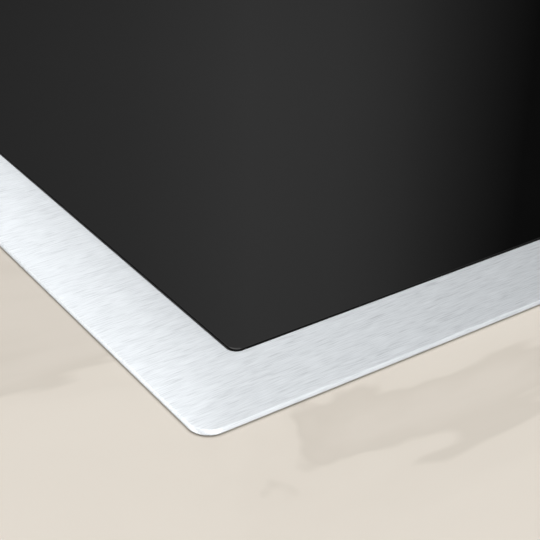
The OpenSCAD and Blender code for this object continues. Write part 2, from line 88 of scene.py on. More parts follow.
def spline(points, steps):
    """A smooth path through the points given."""
    points = [Vector(p) for p in points]
    ends = [2 * points[0] - points[1]] + points + [2 * points[-1] - points[-2]]
    path = []
    for a, b, c, d in zip(ends, ends[1:], ends[2:], ends[3:]):
        for i in range(steps):
            t = i / steps
            path.append(0.5 * (2 * b + (c - a) * t + (2 * a - 5 * b + 4 * c - d) * t ** 2
                + (3 * b - a - 3 * c + d) * t ** 3))
    return path + [points[-1]]


class Form:
    """Closed solids gathered for one piece, in millimetres."""

    def __init__(self):
        self.verts = []
        self.faces = []

    def add(self, verts, faces, place=IDENTITY):
        start = len(self.verts)
        self.verts += [place @ Vector(v) for v in verts]
        self.faces += [tuple(start + i for i in face) for face in faces]

    def copy(self, other, place):
        self.add(other.verts, other.faces, place)

    def loft(self, rings, wrap=False, closed=True, place=IDENTITY):
        """A skin through rings of points, capped at its ends unless it wraps round."""
        n, m = len(rings), len(rings[0])
        faces = []
        for i in range(n if wrap else n - 1):
            a, b = i * m, (i + 1) % n * m
            for c in range(m if closed else m - 1):
                d = (c + 1) % m
                faces.append((a + c, a + d, b + d, b + c))
        if not wrap:
            faces += [tuple(range(m)), tuple(range((n - 1) * m, n * m))]
        self.add([p for ring in rings for p in ring], faces, place)

    def lathe(self, profile, sides=32, place=IDENTITY):
        """A solid turned about Z from (radius, height) points."""
        rings = []
        for i in range(sides):
            a = 2 * pi * i / sides
            rings.append([(r * cos(a), r * sin(a), z) for r, z in profile])
        on_axis = profile[0][0] == 0 and profile[-1][0] == 0
        self.loft(rings, True, not on_axis, place)

    def prism(self, points, low, high, taper=1.0, place=IDENTITY):
        """An outline raised from low to high; taper scales its lower end."""
        self.loft([[(x * taper, y * taper, low) for x, y in points], [(x, y, high) for x, y in points]],
            place=place)

    def slab(self, size, at, radius=0.8, ease=0.4, dish=0.0, steps=3, place=IDENTITY):
        """A block that stands on a point, with round corners, eased edges and a dished top."""
        w, d, h = size
        profile = [(ease, 0), (0, ease), (0, h - ease), (ease, h)]
        if dish:
            profile += [(ease + 0.6, h), (ease + 0.6 + dish, h - dish)]
        rings = [[(at[0] + x, at[1] + y, at[2] + z) for x, y in outline(w / 2 - inset, d / 2 - inset,
            max(radius - inset, 0.1), steps)] for inset, z in profile]
        self.loft(rings, place=place)

    def wire(self, path, radius, sides=8, place=IDENTITY):
        """A round wire along a path, with flat ends."""
        points = [Vector(p) for p in path]
        ends = [points[0]] + points + [points[-1]]
        side = Vector((0.0, 0.0, 1.0))
        if abs((points[1] - points[0]).normalized().z) > 0.9:
            side = Vector((1.0, 0.0, 0.0))
        rings = []
        for before, point, after in zip(ends, points, ends[2:]):
            along = (after - before).normalized()
            side = (side - along * side.dot(along)).normalized()
            across = along.cross(side)
            rings.append([point + radius * (cos(a) * side + sin(a) * across)
                for a in (2 * pi * k / sides for k in range(sides))])
        self.loft(rings, place=place)

    def mesh(self, name, scale=1.0):
        """A clean mesh of these solids, its faces turned outward."""
        mesh = bpy.data.meshes.new(name)
        mesh.from_pydata([tuple(v * scale) for v in self.verts], [], self.faces)
        work = bmesh.new()
        work.from_mesh(mesh)
        bmesh.ops.remove_doubles(work, verts=work.verts, dist=1e-4 * scale)
        bmesh.ops.recalc_face_normals(work, faces=work.faces)
        work.to_mesh(mesh)
        work.free()
        return mesh

    def less(self, cutter):
        """This form with another one cut out of it."""
        solid, tool = (bpy.data.objects.new("carving", form.mesh("carving")) for form in (self, cutter))
        for obj in (solid, tool):
            scene.collection.objects.link(obj)
        cut = solid.modifiers.new("cut", "BOOLEAN")
        cut.operation = "DIFFERENCE"
        cut.object = tool
        result = solid.evaluated_get(bpy.context.evaluated_depsgraph_get()).to_mesh()
        form = Form()
        form.add([v.co.copy() for v in result.vertices], [tuple(p.vertices) for p in result.polygons])
        for obj in (solid, tool):
            bpy.data.objects.remove(obj)
        return form


def shade(mesh, angle):
    """Smooth shading that breaks at edges sharper than angle, in degrees."""
    for face in mesh.polygons:
        face.use_smooth = True
    mesh.set_sharp_from_angle(angle=radians(angle))


def soften(obj, ease):
    """Rounds sharp edges by ease, in millimetres, and keeps flat faces flat."""
    bevel = obj.modifiers.new("ease", "BEVEL")
    bevel.width = ease * MM
    bevel.segments = 2
    bevel.limit_method = "ANGLE"
    bevel.angle_limit = radians(40)
    bevel.use_clamp_overlap = True
    weigh_normals(obj)


def weigh_normals(obj):
    """Keeps wide flat faces flat beside their rounded edges."""
    weighted = obj.modifiers.new("weighted", "WEIGHTED_NORMAL")
    weighted.keep_sharp = True
    weighted.weight = 100


def piece(name, form, material, body=ROOT, replaces=(), ease=0.0, at=(0, 0, 0), smooth=35):
    """A piece of the object, made from a form about a point and riding on a CAD body."""
    mesh = form.mesh(name, MM)
    shade(mesh, smooth)
    mesh.materials.append(material)
    obj = link(name, mesh)
    obj.location = Vector(at) * MM
    if ease:
        soften(obj, ease)
    if body:
        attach(obj, body)
    if replaces:
        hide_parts(*replaces)
    return obj


def dress(node, material, ease=0.0):
    """Gives a CAD node its material and, where asked, softer edges."""
    obj = frame["nodes"][node]
    obj.data.materials.clear()
    obj.data.materials.append(material)
    if ease:
        soften(obj, ease)


def span_of(node):
    """Lowest and highest corner of a CAD node, in millimetres."""
    low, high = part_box(node)
    return low / MM, high / MM


def middle(node):
    """Middle of a CAD node's box, in millimetres."""
    low, high = span_of(node)
    return (low + high) / 2


def top_of(node):
    """Middle of the top of a CAD node's box, in millimetres."""
    at = middle(node)
    return at.x, at.y, span_of(node)[1].z


def stand(x, y, z, turn=0.0, axis="Z"):
    """Places something at a point, turned about an axis by degrees."""
    return Matrix.Translation((x, y, z)) @ Matrix.Rotation(radians(turn), 4, axis)


def link(name, data):
    """A new object in the scene."""
    obj = bpy.data.objects.new(name, data)
    scene.collection.objects.link(obj)
    return obj


def face_out(x, y, z, nx, ny):
    """Places something made along +Z so that it points out along (nx, ny)."""
    turn = Vector((0, 0, 1)).rotation_difference(Vector((nx, ny, 0)))
    return Matrix.Translation((x, y, z)) @ turn.to_matrix().to_4x4()


# ---- material helpers

class Nodes:
    """A node tree built by calls that return sockets."""

    def __init__(self, tree):
        self.tree = tree

    def plug(self, socket, value):
        if isinstance(value, bpy.types.NodeSocket):
            self.tree.links.new(value, socket)
        else:
            socket.default_value = value

    def add(self, kind, inputs, out=0, **settings):
        node = self.tree.nodes.new("ShaderNode" + kind)
        for key, value in settings.items():
            setattr(node, key, value)
        for key, value in inputs.items():
            self.plug(node.inputs[key], value)
        return node.outputs[out]

    def split(self, vector):
        node = self.tree.nodes.new("ShaderNodeSeparateXYZ")
        self.plug(node.inputs[0], vector)
        return node.outputs

    def place(self, scale=1):
        """Object coordinates in metres, multiplied by one scale or by one for each axis."""
        scale = scale if isinstance(scale, tuple) else (scale,) * 3
        where = self.add("TexCoord", {}, "Object")
        return self.add("VectorMath", {0: where, 1: scale}, operation="MULTIPLY")

    def noise(self, scale, detail=4.0, rough=0.5, distortion=0.0):
        return self.add("TexNoise", {"Vector": self.place(scale), "Scale": 1.0, "Detail": detail,
            "Roughness": rough, "Distortion": distortion}, "Fac")

    def cells(self, scale, out="Distance"):
        return self.add("TexVoronoi", {"Vector": self.place(scale), "Scale": 1.0}, out)

    def levels(self, scale):
        """Cells with one random level each."""
        return self.add("SeparateColor", {"Color": self.cells(scale, "Color")})

    def span(self, value, low, high, to_low=0.0, to_high=1.0):
        return self.add("MapRange", {"Value": value, "From Min": low, "From Max": high,
            "To Min": to_low, "To Max": to_high})

    def math(self, operation, a, b=0.0):
        return self.add("Math", {0: a, 1: b}, operation=operation)

    def weigh(self, a, part_a, b, part_b):
        """A weighted sum of two values."""
        return self.math("ADD", self.math("MULTIPLY", a, part_a), self.math("MULTIPLY", b, part_b))

    def ramp(self, value, stops):
        node = self.tree.nodes.new("ShaderNodeValToRGB")
        while len(node.color_ramp.elements) < len(stops):
            node.color_ramp.elements.new(0.5)
        for element, (position, color) in zip(node.color_ramp.elements, stops):
            element.position = position
            element.color = (*color, 1) if len(color) == 3 else color
        self.plug(node.inputs["Fac"], value)
        return node.outputs["Color"]

    def mix(self, factor, a, b):
        node = self.tree.nodes.new("ShaderNodeMix")
        node.data_type = "RGBA"
        self.plug(node.inputs["Factor"], factor)
        for socket, value in ((node.inputs[6], a), (node.inputs[7], b)):
            wide = value if isinstance(value, bpy.types.NodeSocket) else (*value, 1)
            self.plug(socket, wide)
        return node.outputs[2]


class Shader(Nodes):
    """A new material with one Principled BSDF."""

    def __init__(self, name, base, metallic, roughness, **sockets):
        self.material = bpy.data.materials.new(name)
        self.material.use_nodes = True
        super().__init__(self.material.node_tree)
        self.bsdf = self.tree.nodes["Principled BSDF"]
        self.set("Base Color", (*base, 1))
        self.set("Metallic", metallic)
        self.set("Roughness", roughness)
        for key, value in sockets.items():
            self.set(key.replace("_", " "), value)

    def set(self, key, value):
        self.plug(self.bsdf.inputs[key], value)

    def color(self, value, stops):
        self.set("Base Color", self.ramp(value, stops))

    def rough(self, value, smooth, coarse, low=0.3, high=0.7):
        self.set("Roughness", self.span(value, low, high, smooth, coarse))

    def bump(self, height, distance):
        """Relief of the height given, distance in metres."""
        self.set("Normal", self.add("Bump", {"Height": height, "Distance": distance, "Strength": 1.0}))


def brushed_steel():
    """Satin stainless steel with its grain along X."""
    s = Shader("brushed_steel", (0.8, 0.83, 0.857), 1.0, 0.42, Anisotropic=0.8,
        Anisotropic_Rotation=0.25)
    fine = s.noise((330, 9000, 9000), 3, 0.6)
    streak = s.noise((210, 5000, 5000), 2, 0.5)
    dash = s.span(s.noise((210, 3100, 3100), 2, 0.5), 0.59, 0.70, 0, 0.14)
    broad = s.noise((30, 500, 500), 3, 0.5)
    wear = s.noise((9, 14, 14), 3, 0.5)
    lines = s.weigh(fine, 0.45, streak, 0.55)
    lines = s.math("SUBTRACT", lines, dash)
    tone = s.weigh(lines, 0.9, broad, 0.1)
    s.color(tone, [(0.34, (0.66, 0.69, 0.715)), (0.5, (0.80, 0.83, 0.857)),
        (0.66, (0.88, 0.912, 0.94))])
    grain = s.span(lines, 0.3, 0.7, 0.36, 0.46)
    s.set("Roughness", s.math("ADD", grain, s.math("MULTIPLY", wear, 0.05)))
    s.bump(lines, 0.000014)
    s.set("Tangent", s.add("Tangent", {}, direction_type="UV_MAP"))
    return s.material


def black_glass():
    """Polished black glass-ceramic, with the faintest orange peel and dust."""
    s = Shader("black_glass_ceramic", (0.001, 0.001, 0.001), 0.0, 0.02, IOR=1.52)
    peel = s.noise(60, 2, 0.5)
    haze = s.noise(25, 5, 0.6)
    s.rough(haze, 0.015, 0.05, 0.35, 0.75)
    s.color(haze, [(0.3, (0.0006, 0.0006, 0.0006)), (0.8, (0.0012, 0.0012, 0.0012))])
    s.bump(peel, 0.000002)
    return s.material


def glass_print():
    """Fired-on grey enamel, with a screen's dots in it."""
    s = Shader("glass_print", (0.45, 0.46, 0.47), 0.0, 0.45)
    dots = s.cells(2600)
    wear = s.noise(260, 4, 0.6)
    tone = s.weigh(dots, 0.4, wear, 0.6)
    s.color(tone, [(0.25, (0.52, 0.53, 0.54)), (0.7, (0.36, 0.37, 0.38))])
    s.rough(wear, 0.35, 0.55)
    return s.material


def silicone():
    """Black silicone, smoothed by hand, with a little dust in its surface."""
    s = Shader("black_silicone", (0.008, 0.008, 0.008), 0.0, 0.55)
    grain = s.noise(900, 3, 0.5)
    smear = s.noise((120, 120, 40), 4, 0.5)
    s.color(smear, [(0.3, (0.005, 0.005, 0.005)), (0.75, (0.013, 0.013, 0.012))])
    s.rough(grain, 0.45, 0.65)
    s.bump(grain, 0.00002)
    return s.material


def foam():
    """Closed-cell foam strip, dark olive grey."""
    s = Shader("gasket_foam", (0.09, 0.09, 0.075), 0.0, 0.9)
    cells = s.cells(3500)
    tone = s.noise(300, 4, 0.6)
    s.color(tone, [(0.3, (0.06, 0.06, 0.048)), (0.7, (0.13, 0.128, 0.105))])
    s.bump(cells, 0.00008)
    return s.material


def galvanised():
    """Zinc-coated sheet steel with a soft spangle."""
    s = Shader("galvanised_sheet", (0.63, 0.65, 0.665), 0.95, 0.38)
    value = s.levels(190)
    rolled = s.noise((30, 900, 900), 3, 0.5)
    stain = s.noise(18, 5, 0.6)
    tone = s.weigh(value, 0.5, stain, 0.5)
    s.color(tone, [(0.2, (0.56, 0.58, 0.60)), (0.5, (0.63, 0.65, 0.665)), (0.8, (0.69, 0.71, 0.72))])
    s.rough(value, 0.33, 0.43, 0, 1)
    s.bump(s.math("ADD", value, rolled), 0.000008)
    return s.material


def scaled(color, factor):
    """A colour made darker or lighter."""
    return tuple(min(c * factor, 1.0) for c in color)


def moulded(name, color, roughness=0.5, grain=1400, contrast=0.14):
    """Moulded plastic: a fine spark-eroded texture, slight clouding and scuffs."""
    s = Shader(name, color, 0.0, roughness)
    fine = s.noise((grain, grain, grain), 3, 0.6)
    cloud = s.noise(45, 5, 0.6)
    scuff = s.noise((60, 700, 300), 3, 0.6)
    tone = s.weigh(fine, 0.4, cloud, 0.6)
    s.color(tone, [(0.3, scaled(color, 1 - contrast)), (0.5, color),
        (0.72, scaled(color, 1 + contrast))])
    s.rough(scuff, roughness - 0.08, roughness + 0.08)
    s.bump(fine, 0.000012)
    return s.material


def metal(name, color, roughness, drawn=(700, 700, 60), tarnish=None):
    """Bare or plated metal with drawing lines, a little tarnish and fine pitting."""
    s = Shader(name, color, 1.0, roughness)
    lines = s.noise(drawn, 3, 0.6)
    stain = s.noise(70, 5, 0.65)
    pits = s.noise(3000, 2, 0.5)
    tone = s.weigh(lines, 0.45, stain, 0.55)
    dull = tarnish or scaled(color, 0.72)
    s.color(tone, [(0.3, dull), (0.52, color), (0.75, scaled(color, 1.1))])
    s.rough(lines, roughness - 0.07, roughness + 0.1)
    s.bump(s.math("ADD", lines, pits), 0.000006)
    return s.material


def mica_board():
    """Pressed mica flakes, pearly brown and straw."""
    s = Shader("mica_board", (0.5, 0.42, 0.3), 0.0, 0.35)
    value = s.levels(420)
    haze = s.noise(90, 5, 0.6)
    tone = s.weigh(value, 0.5, haze, 0.5)
    s.color(tone, [(0.2, (0.33, 0.26, 0.17)), (0.5, (0.50, 0.42, 0.30)), (0.8, (0.66, 0.59, 0.47))])
    s.rough(value, 0.22, 0.5, 0, 1)
    s.bump(value, 0.00003)
    return s.material


def litz():
    """Enamelled copper strands that twist along a wire wound round the object's middle; the colour
    holds painted shade, darker in the grooves between strands and lighter on their crests.
    """
    s = Shader("litz_wire", (0.6, 0.27, 0.12), 0.75, 0.38)
    x, y, z = s.split(s.place())
    radius = s.math("SQRT", s.math("ADD", s.math("MULTIPLY", x, x), s.math("MULTIPLY", y, y)))
    along = s.math("MULTIPLY", s.math("ARCTAN2", y, x), radius)
    phase = s.weigh(along, 2200, radius, 5200)
    strand_relief_and_shade = s.span(s.math("SINE", s.math("ADD", phase, s.math("MULTIPLY", z, 5200))), -1, 1)
    tint = s.noise(160, 4, 0.6)
    tone = s.weigh(strand_relief_and_shade, 0.55, tint, 0.45)
    # painted shade: the strand relief darkens the colour in the grooves between strands and lightens it
    # on their crests
    s.color(tone, [(0.2, (0.30, 0.10, 0.04)), (0.5, (0.60, 0.27, 0.12)), (0.8, (0.80, 0.44, 0.22))])
    s.rough(tint, 0.28, 0.48)
    s.bump(strand_relief_and_shade, 0.0001)
    return s.material


def enamelled_copper():
    """Thick enamelled winding wire."""
    s = Shader("enamelled_copper", (0.62, 0.26, 0.1), 0.85, 0.26)
    tint = s.noise(220, 4, 0.6)
    s.color(tint, [(0.3, (0.42, 0.15, 0.05)), (0.5, (0.62, 0.26, 0.10)), (0.7, (0.74, 0.36, 0.16))])
    s.rough(tint, 0.2, 0.36)
    return s.material


def sintered(name, color, roughness=0.6):
    """A pressed and fired ceramic with grains and small chips."""
    s = Shader(name, color, 0.0, roughness)
    value = s.levels(1900)
    chips = s.noise(240, 5, 0.7)
    tone = s.weigh(value, 0.35, chips, 0.65)
    s.color(tone, [(0.25, scaled(color, 0.7)), (0.5, color), (0.78, scaled(color, 1.5))])
    s.rough(chips, roughness - 0.12, roughness + 0.12)
    s.bump(chips, 0.00006)
    return s.material


def circuit_board():
    """Green solder mask over copper tracks, with tinned pads."""
    s = Shader("circuit_board", (0.02, 0.13, 0.06), 0.0, 0.35)
    where = s.place()
    area = s.add("TexVoronoi", {"Vector": where, "Scale": 55.0}, "Color", distance="CHEBYCHEV")
    choice = s.add("SeparateColor", {"Color": area})
    x, y = s.split(where)[:2]
    run = s.math("GREATER_THAN", choice, 0.5)
    across = s.math("ADD", s.math("MULTIPLY", x, run), s.math("MULTIPLY", y,
        s.math("SUBTRACT", 1.0, run)))
    track = s.math("GREATER_THAN", s.math("SINE", s.math("MULTIPLY", across, 2400)), 0.1)
    hole = s.add("TexVoronoi", {"Vector": where, "Scale": 190.0}, "Distance")
    pad = s.math("LESS_THAN", hole, 0.2)
    weave = s.noise(900, 3, 0.5)
    masked = s.mix(track, (0.012, 0.085, 0.04), (0.03, 0.17, 0.075))
    shaded = s.mix(s.math("MULTIPLY", weave, 0.25), masked, (0.01, 0.05, 0.03))
    s.set("Base Color", s.mix(pad, shaded, (0.62, 0.61, 0.56)))
    s.set("Metallic", s.math("MULTIPLY", pad, 0.9))
    s.rough(weave, 0.28, 0.42)
    s.bump(s.math("ADD", track, pad), 0.00003)
    return s.material


STEEL = brushed_steel()
GLASS = black_glass()
PRINT = glass_print()
SILICONE = silicone()
FOAM = foam()
GALVANISED = galvanised()
ZINC = metal("zinc_plated_screw", (0.62, 0.61, 0.57), 0.3, 900, (0.45, 0.43, 0.36))
SPRING_STEEL = metal("spring_steel", (0.30, 0.31, 0.33), 0.33, (60, 700, 60), (0.17, 0.18, 0.21))
SPRING_WIRE = metal("spring_wire", (0.42, 0.43, 0.45), 0.28, 1200)
TRAY_ALUMINIUM = metal("tray_aluminium", (0.78, 0.785, 0.79), 0.38, (900, 40, 900))
SINK_ALUMINIUM = metal("sink_aluminium", (0.72, 0.725, 0.73), 0.34, (900, 25, 900))
CAN_ALUMINIUM = metal("can_aluminium", (0.76, 0.765, 0.77), 0.27, (500, 500, 1500))
SHAFT_STEEL = metal("shaft_steel", (0.66, 0.67, 0.68), 0.16, (2600, 2600, 100))
LAMINATIONS = metal("motor_laminations", (0.26, 0.26, 0.27), 0.42, (80, 80, 5200), (0.16, 0.13, 0.11))
BRONZE = metal("bearing_bronze", (0.62, 0.42, 0.2), 0.36, 1500, (0.40, 0.25, 0.12))
BRASS = metal("brass", (0.75, 0.58, 0.27), 0.26, 900, (0.50, 0.36, 0.15))
GOLD_WIRE = metal("gold_plated_wire", (0.83, 0.62, 0.28), 0.24, 1500)
MICA = mica_board()
LITZ = litz()
COPPER = enamelled_copper()
FERRITE = sintered("ferrite", (0.035, 0.036, 0.04), 0.5)
SENSOR_CERAMIC = sintered("sensor_ceramic", (0.66, 0.65, 0.61), 0.45)
BOARD = circuit_board()
FORMER_PLASTIC = moulded("former_plastic", (0.56, 0.51, 0.42), 0.55)
FAN_PLASTIC = moulded("fan_plastic", (0.035, 0.036, 0.038), 0.45)
ROTOR_PLASTIC = moulded("rotor_plastic", (0.60, 0.60, 0.585), 0.4, 1000, 0.08)
CONTROL_PLASTIC = moulded("control_plastic", (0.62, 0.62, 0.60), 0.5, 1200, 0.08)
TERMINAL_PLASTIC = moulded("terminal_plastic", (0.045, 0.047, 0.05), 0.5)
BLOCK_PLASTIC = moulded("block_plastic", (0.66, 0.63, 0.54), 0.38, 1200, 0.08)
GLAND_PLASTIC = moulded("gland_plastic", (0.025, 0.025, 0.026), 0.4)
NITRILE = moulded("nitrile_rubber", (0.02, 0.02, 0.02), 0.7, 2200, 0.3)
CHIP_EPOXY = moulded("chip_epoxy", (0.018, 0.018, 0.02), 0.48, 2400, 0.25)
SLEEVE = moulded("capacitor_sleeve", (0.025, 0.03, 0.055), 0.3, 1200)
FILM_BOX = moulded("film_capacitor_box", (0.42, 0.43, 0.42), 0.42, 1500, 0.08)
RELAY_BLUE = moulded("relay_case", (0.03, 0.09, 0.24), 0.35, 1300)
NYLON = moulded("nylon_plug", (0.70, 0.69, 0.64), 0.45, 1200, 0.06)
TAPE = moulded("polyester_tape", (0.72, 0.50, 0.05), 0.35, 900)
CORE_GREY = sintered("choke_core", (0.10, 0.12, 0.11), 0.55)
DISPLAY_BLACK = moulded("display_case", (0.02, 0.02, 0.022), 0.5, 2000, 0.2)
SEGMENT_MILK = moulded("display_segment", (0.50, 0.44, 0.43), 0.35, 2500, 0.05)
WIRE_RED = moulded("wire_red", (0.42, 0.02, 0.018), 0.38, 2500)
WIRE_BLACK = moulded("wire_black", (0.02, 0.02, 0.02), 0.38, 2500)
RIBBON_GREY = moulded("ribbon_grey", (0.36, 0.365, 0.37), 0.45, 2500, 0.08)


# ---- top parts

RIM_LOW, RIM_HIGH = span_of("trim_frame")
GLASS_LOW, GLASS_HIGH = span_of("glass_top")
BOX_HIGH = span_of("burner_box")[1]
HALF_W, HALF_D, TOP = RIM_HIGH
FACE = HALF_W - GLASS_HIGH.x - 0.4
SHEET = 1.0
LEDGE = 12
LEDGE_TOP = GLASS_LOW.z - 0.5
OUTER_R, OPENING_R = 4.1, 2.2
RIM_EDGE_T = 0.68


def face_radius(inset):
    """The corner radius of the frame's outline, at a distance in from its outer edge."""
    if inset < FACE:
        return OUTER_R + (OPENING_R - OUTER_R) * inset / FACE
    return OPENING_R + 0.8 * min(1.0, (inset - FACE) / LEDGE)


def ring_at(inset, z, radius):
    """The frame's outline, drawn in by inset, at a height."""
    return [(x, y, z) for x, y in outline(HALF_W - inset, HALF_D - inset, radius)]


def trim_frame():
    """One pressed sheet: eased edge, face, step down, ledge and skirt."""
    under = TOP - SHEET
    bend = 0.35
    step_in, skirt_in = FACE + LEDGE, FACE + LEDGE + SHEET
    profile = [(1.3, under), (0.2, TOP - RIM_EDGE_T), (0, TOP - RIM_EDGE_T + 0.1)]
    profile += [(0.01, TOP - 0.5), (0.08, TOP - 0.42), (0.52, TOP - 0.05), (0.64, TOP)]
    profile += [(FACE - bend - 2, TOP)]
    profile += arc(FACE - bend, TOP - bend, bend, 90, 0)
    profile += [(FACE, LEDGE_TOP), (skirt_in - 0.3, LEDGE_TOP)]
    profile += arc(skirt_in - 0.3, LEDGE_TOP - 0.3, 0.3, 90, 0, 3)
    profile += [(skirt_in, RIM_LOW.z), (step_in, RIM_LOW.z), (step_in, LEDGE_TOP - SHEET)]
    profile += [(FACE - SHEET + 0.3, LEDGE_TOP - SHEET)]
    profile += arc(FACE - SHEET + 0.3, LEDGE_TOP - SHEET + 0.3, 0.3, 270, 180, 3)
    profile += [(FACE - SHEET, under)]
    form = Form()
    form.loft([ring_at(inset, z, face_radius(inset)) for inset, z in profile], wrap=True)
    obj = piece("trim_frame_pressing", form, STEEL, replaces=["trim_frame"], smooth=50)
    weigh_normals(obj)
    grain_uv(obj)


def grain_uv(obj):
    """A plan-view UV map, which gives the brushing its direction."""
    layer = obj.data.uv_layers.new(name="grain")
    for loop in obj.data.loops:
        co = obj.data.vertices[loop.vertex_index].co
        layer.data[loop.index].uv = (co.x + co.z * 0.01, co.y + co.z)


def glass_pane():
    """The pane with its edges eased all round."""
    inset = HALF_W - GLASS_HIGH.x
    radius = OPENING_R - 0.4
    ease = 0.05
    profile = [(20, TOP), (inset + 0.8, TOP)] + arc(inset + ease, TOP - ease, ease, 90, 180, 3)
    profile += [(inset, GLASS_LOW.z + ease), (inset + ease, GLASS_LOW.z)]
    form = Form()
    form.loft([ring_at(at, z, max(radius + inset - at, 0.2)) for at, z in profile])
    obj = piece("glass_pane", form, GLASS, replaces=["glass_top"], smooth=60)
    weigh_normals(obj)


COILS = [f"{end}_{side}" for side in SIDES for end in ("front", "rear")]
PRINT_LOW, PRINT_HIGH = TOP - 0.02, TOP + 0.012
TOUCH_KEYS, TOUCH_R = 11, 4
DISPLAY_PITCH = 36
DISPLAY_X = [i * DISPLAY_PITCH for i in range(-2, 3)]


def printed_arc(form, x, y, radius, width, start, end):
    """A flat printed arc."""
    outer, inner = (arc(0, 0, r, start, end, 64) for r in (radius, radius - width))
    form.prism(outer + inner[::-1], PRINT_LOW, PRINT_HIGH, place=stand(x, y, 0))


def printed_dot(form, x, y, radius):
    """A flat printed dot."""
    form.lathe([(0, PRINT_LOW), (radius, PRINT_LOW), (radius, PRINT_HIGH), (0, PRINT_HIGH)], 64,
        stand(x, y, 0))


def printed_bar(form, x, y, w, d):
    """A flat printed bar."""
    corners = [(x - w / 2, y - d / 2), (x + w / 2, y - d / 2), (x + w / 2, y + d / 2),
        (x - w / 2, y + d / 2)]
    form.prism(corners, PRINT_LOW, PRINT_HIGH)


def touch_places():
    """Points on the glass over the touch springs."""
    low, high = span_of("touch_springs")
    pitch = (high.x - low.x - 2 * TOUCH_R) / (TOUCH_KEYS - 1)
    return [(low.x + TOUCH_R + i * pitch, (low.y + high.y) / 2) for i in range(TOUCH_KEYS)]


def glass_marks():
    """Zone crosses and plain touch symbols printed on the glass."""
    form = Form()
    for coil in COILS:
        at = middle("winding_" + coil)
        printed_bar(form, at.x, at.y, 26, 0.7)
        for side in (-1, 1):
            printed_bar(form, at.x, at.y + side * 6.7, 0.7, 12.6)
    last = TOUCH_KEYS - 1
    for i, (x, y) in enumerate(touch_places()):
        if i in (0, last):
            printed_arc(form, x, y, 3.2, 0.5, 125, 415)
            printed_bar(form, x, y + 2.6, 0.5, 2.6)
        elif i % 2 == 0:
            printed_bar(form, x, y, 5, 0.6)
            if i > last / 2:
                for side in (-1, 1):
                    printed_bar(form, x, y + side * 1.4, 0.6, 2.2)
        else:
            printed_dot(form, x, y, 1.1)
    y = touch_places()[0][1] + 22
    for x in DISPLAY_X:
        for side in (-1, 1):
            printed_bar(form, x, y + side * 8.5, 19, 0.4)
    piece("glass_marks", form, PRINT)


# ---- fasteners and case

def pan_head(shank_r, length, head_r, head_h):
    """A screw along Z with a cross recess and a rolled thread; its head stands on z = 0."""
    profile = [(0, head_h), (0.5 * head_r, 0.97 * head_h), (0.8 * head_r, 0.82 * head_h),
        (0.96 * head_r, 0.5 * head_h), (head_r, 0.2 * head_h), (head_r, 0), (shank_r, 0)]
    pitch = 0.6 * shank_r
    for i in range(1, int(length / pitch)):
        profile += [(shank_r, -i * pitch), (0.78 * shank_r, -(i + 0.5) * pitch)]
    profile += [(0.5 * shank_r, -length), (0, -length)]
    solid = Form()
    solid.lathe(profile, 24)
    long, wide = 0.55 * head_r, 0.12 * head_r
    cross = []
    for turn in range(4):
        a = Matrix.Rotation(radians(90 * turn), 2)
        cross += [tuple(a @ Vector(p)) for p in ((wide, wide), (wide, long), (-wide, long))]
    cutter = Form()
    cutter.prism(cross[::-1], 0.35 * head_h, 1.5 * head_h, 0.6)
    return solid.less(cutter)


def side_screws():
    """Self-tapping screws through the box's wall into the frame's skirt."""
    z = middle("side_screws").z
    screw = pan_head(shank_r=1.6, length=5, head_r=3.6, head_h=2.2)
    form = Form()
    along_side, along_front = 190, 280
    for side in (-1, 1):
        for step in (-1, 0, 1):
            form.copy(screw, face_out(side * BOX_HIGH.x, step * along_side, z, side, 0))
            form.copy(screw, face_out(step * along_front, side * BOX_HIGH.y, z, 0, side))
    piece("side_screw_set", form, ZINC, replaces=["side_screws"])


def corner_rivets():
    """Blind rivets that close the box's folded corners."""
    form = Form()
    profile = [(0, 0.25), (0.8, 0.25), (0.95, 0.8), (1.6, 0.75), (2.2, 0.4), (2.4, 0), (0, 0)]
    inset, heights = 10, (10, 40)
    for sx in (-1, 1):
        for sy in (-1, 1):
            for z in heights:
                form.lathe(profile, 24, face_out(sx * BOX_HIGH.x, sy * (BOX_HIGH.y - inset), z, sx, 0))
    piece("corner_rivets", form, ZINC)


def side_clip(name, side, body):
    """A spring strip with a pressed bead, hooked into a slot in the wall and bowed outward."""
    low, high = span_of(name)
    t, half_w = 0.78, (high.y - low.y) / 2
    end_r, foot_z, bead_h, bead_w = 5, 14, 0.55, 3.2
    wall = BOX_HIGH.x - 0.4
    reach = max(abs(low.x), abs(high.x)) - wall - 0.5
    guide = [(-2, -3.1), (-2, -1.6), (-1.5, -0.3), (0, 0), (1.8, 0.4), (3.4, 3), (8, 10),
        (reach - 1.3, 19), (reach, 24), (reach - 2, 28.5), (10.2, 36.6)]
    path = spline([(x, z, 0) for x, z in guide], 5)
    lengths = [0.0]
    for a, b in zip(path, path[1:]):
        lengths.append(lengths[-1] + (b - a).length)
    rings = []
    for i, point in enumerate(path):
        along = (path[min(i + 1, len(path) - 1)] - path[max(i - 1, 0)]).normalized()
        out = Vector((along.y, -along.x, 0))
        left = min(lengths[-1] - lengths[i], end_r)
        width = half_w - end_r + sqrt(max(end_r ** 2 - (end_r - left) ** 2, 0))
        middle_part = min(max(lengths[i] - 9, 0), max(lengths[-1] - 6 - lengths[i], 0), 4) / 4
        upper, under = [], []
        for k in range(-6, 7):
            y = width * k / 6
            bead = bead_h * middle_part * exp(-(y / bead_w) ** 2)
            for row, offset in ((upper, t / 2), (under, -t / 2)):
                p = point + out * (offset - bead)
                row.append((side * (wall + p.x), (low.y + high.y) / 2 + y, foot_z + p.y))
        rings.append(upper + under[::-1])
    form = Form()
    form.loft(rings)
    piece(name + "_strip", form, SPRING_STEEL, body, [name], smooth=40)


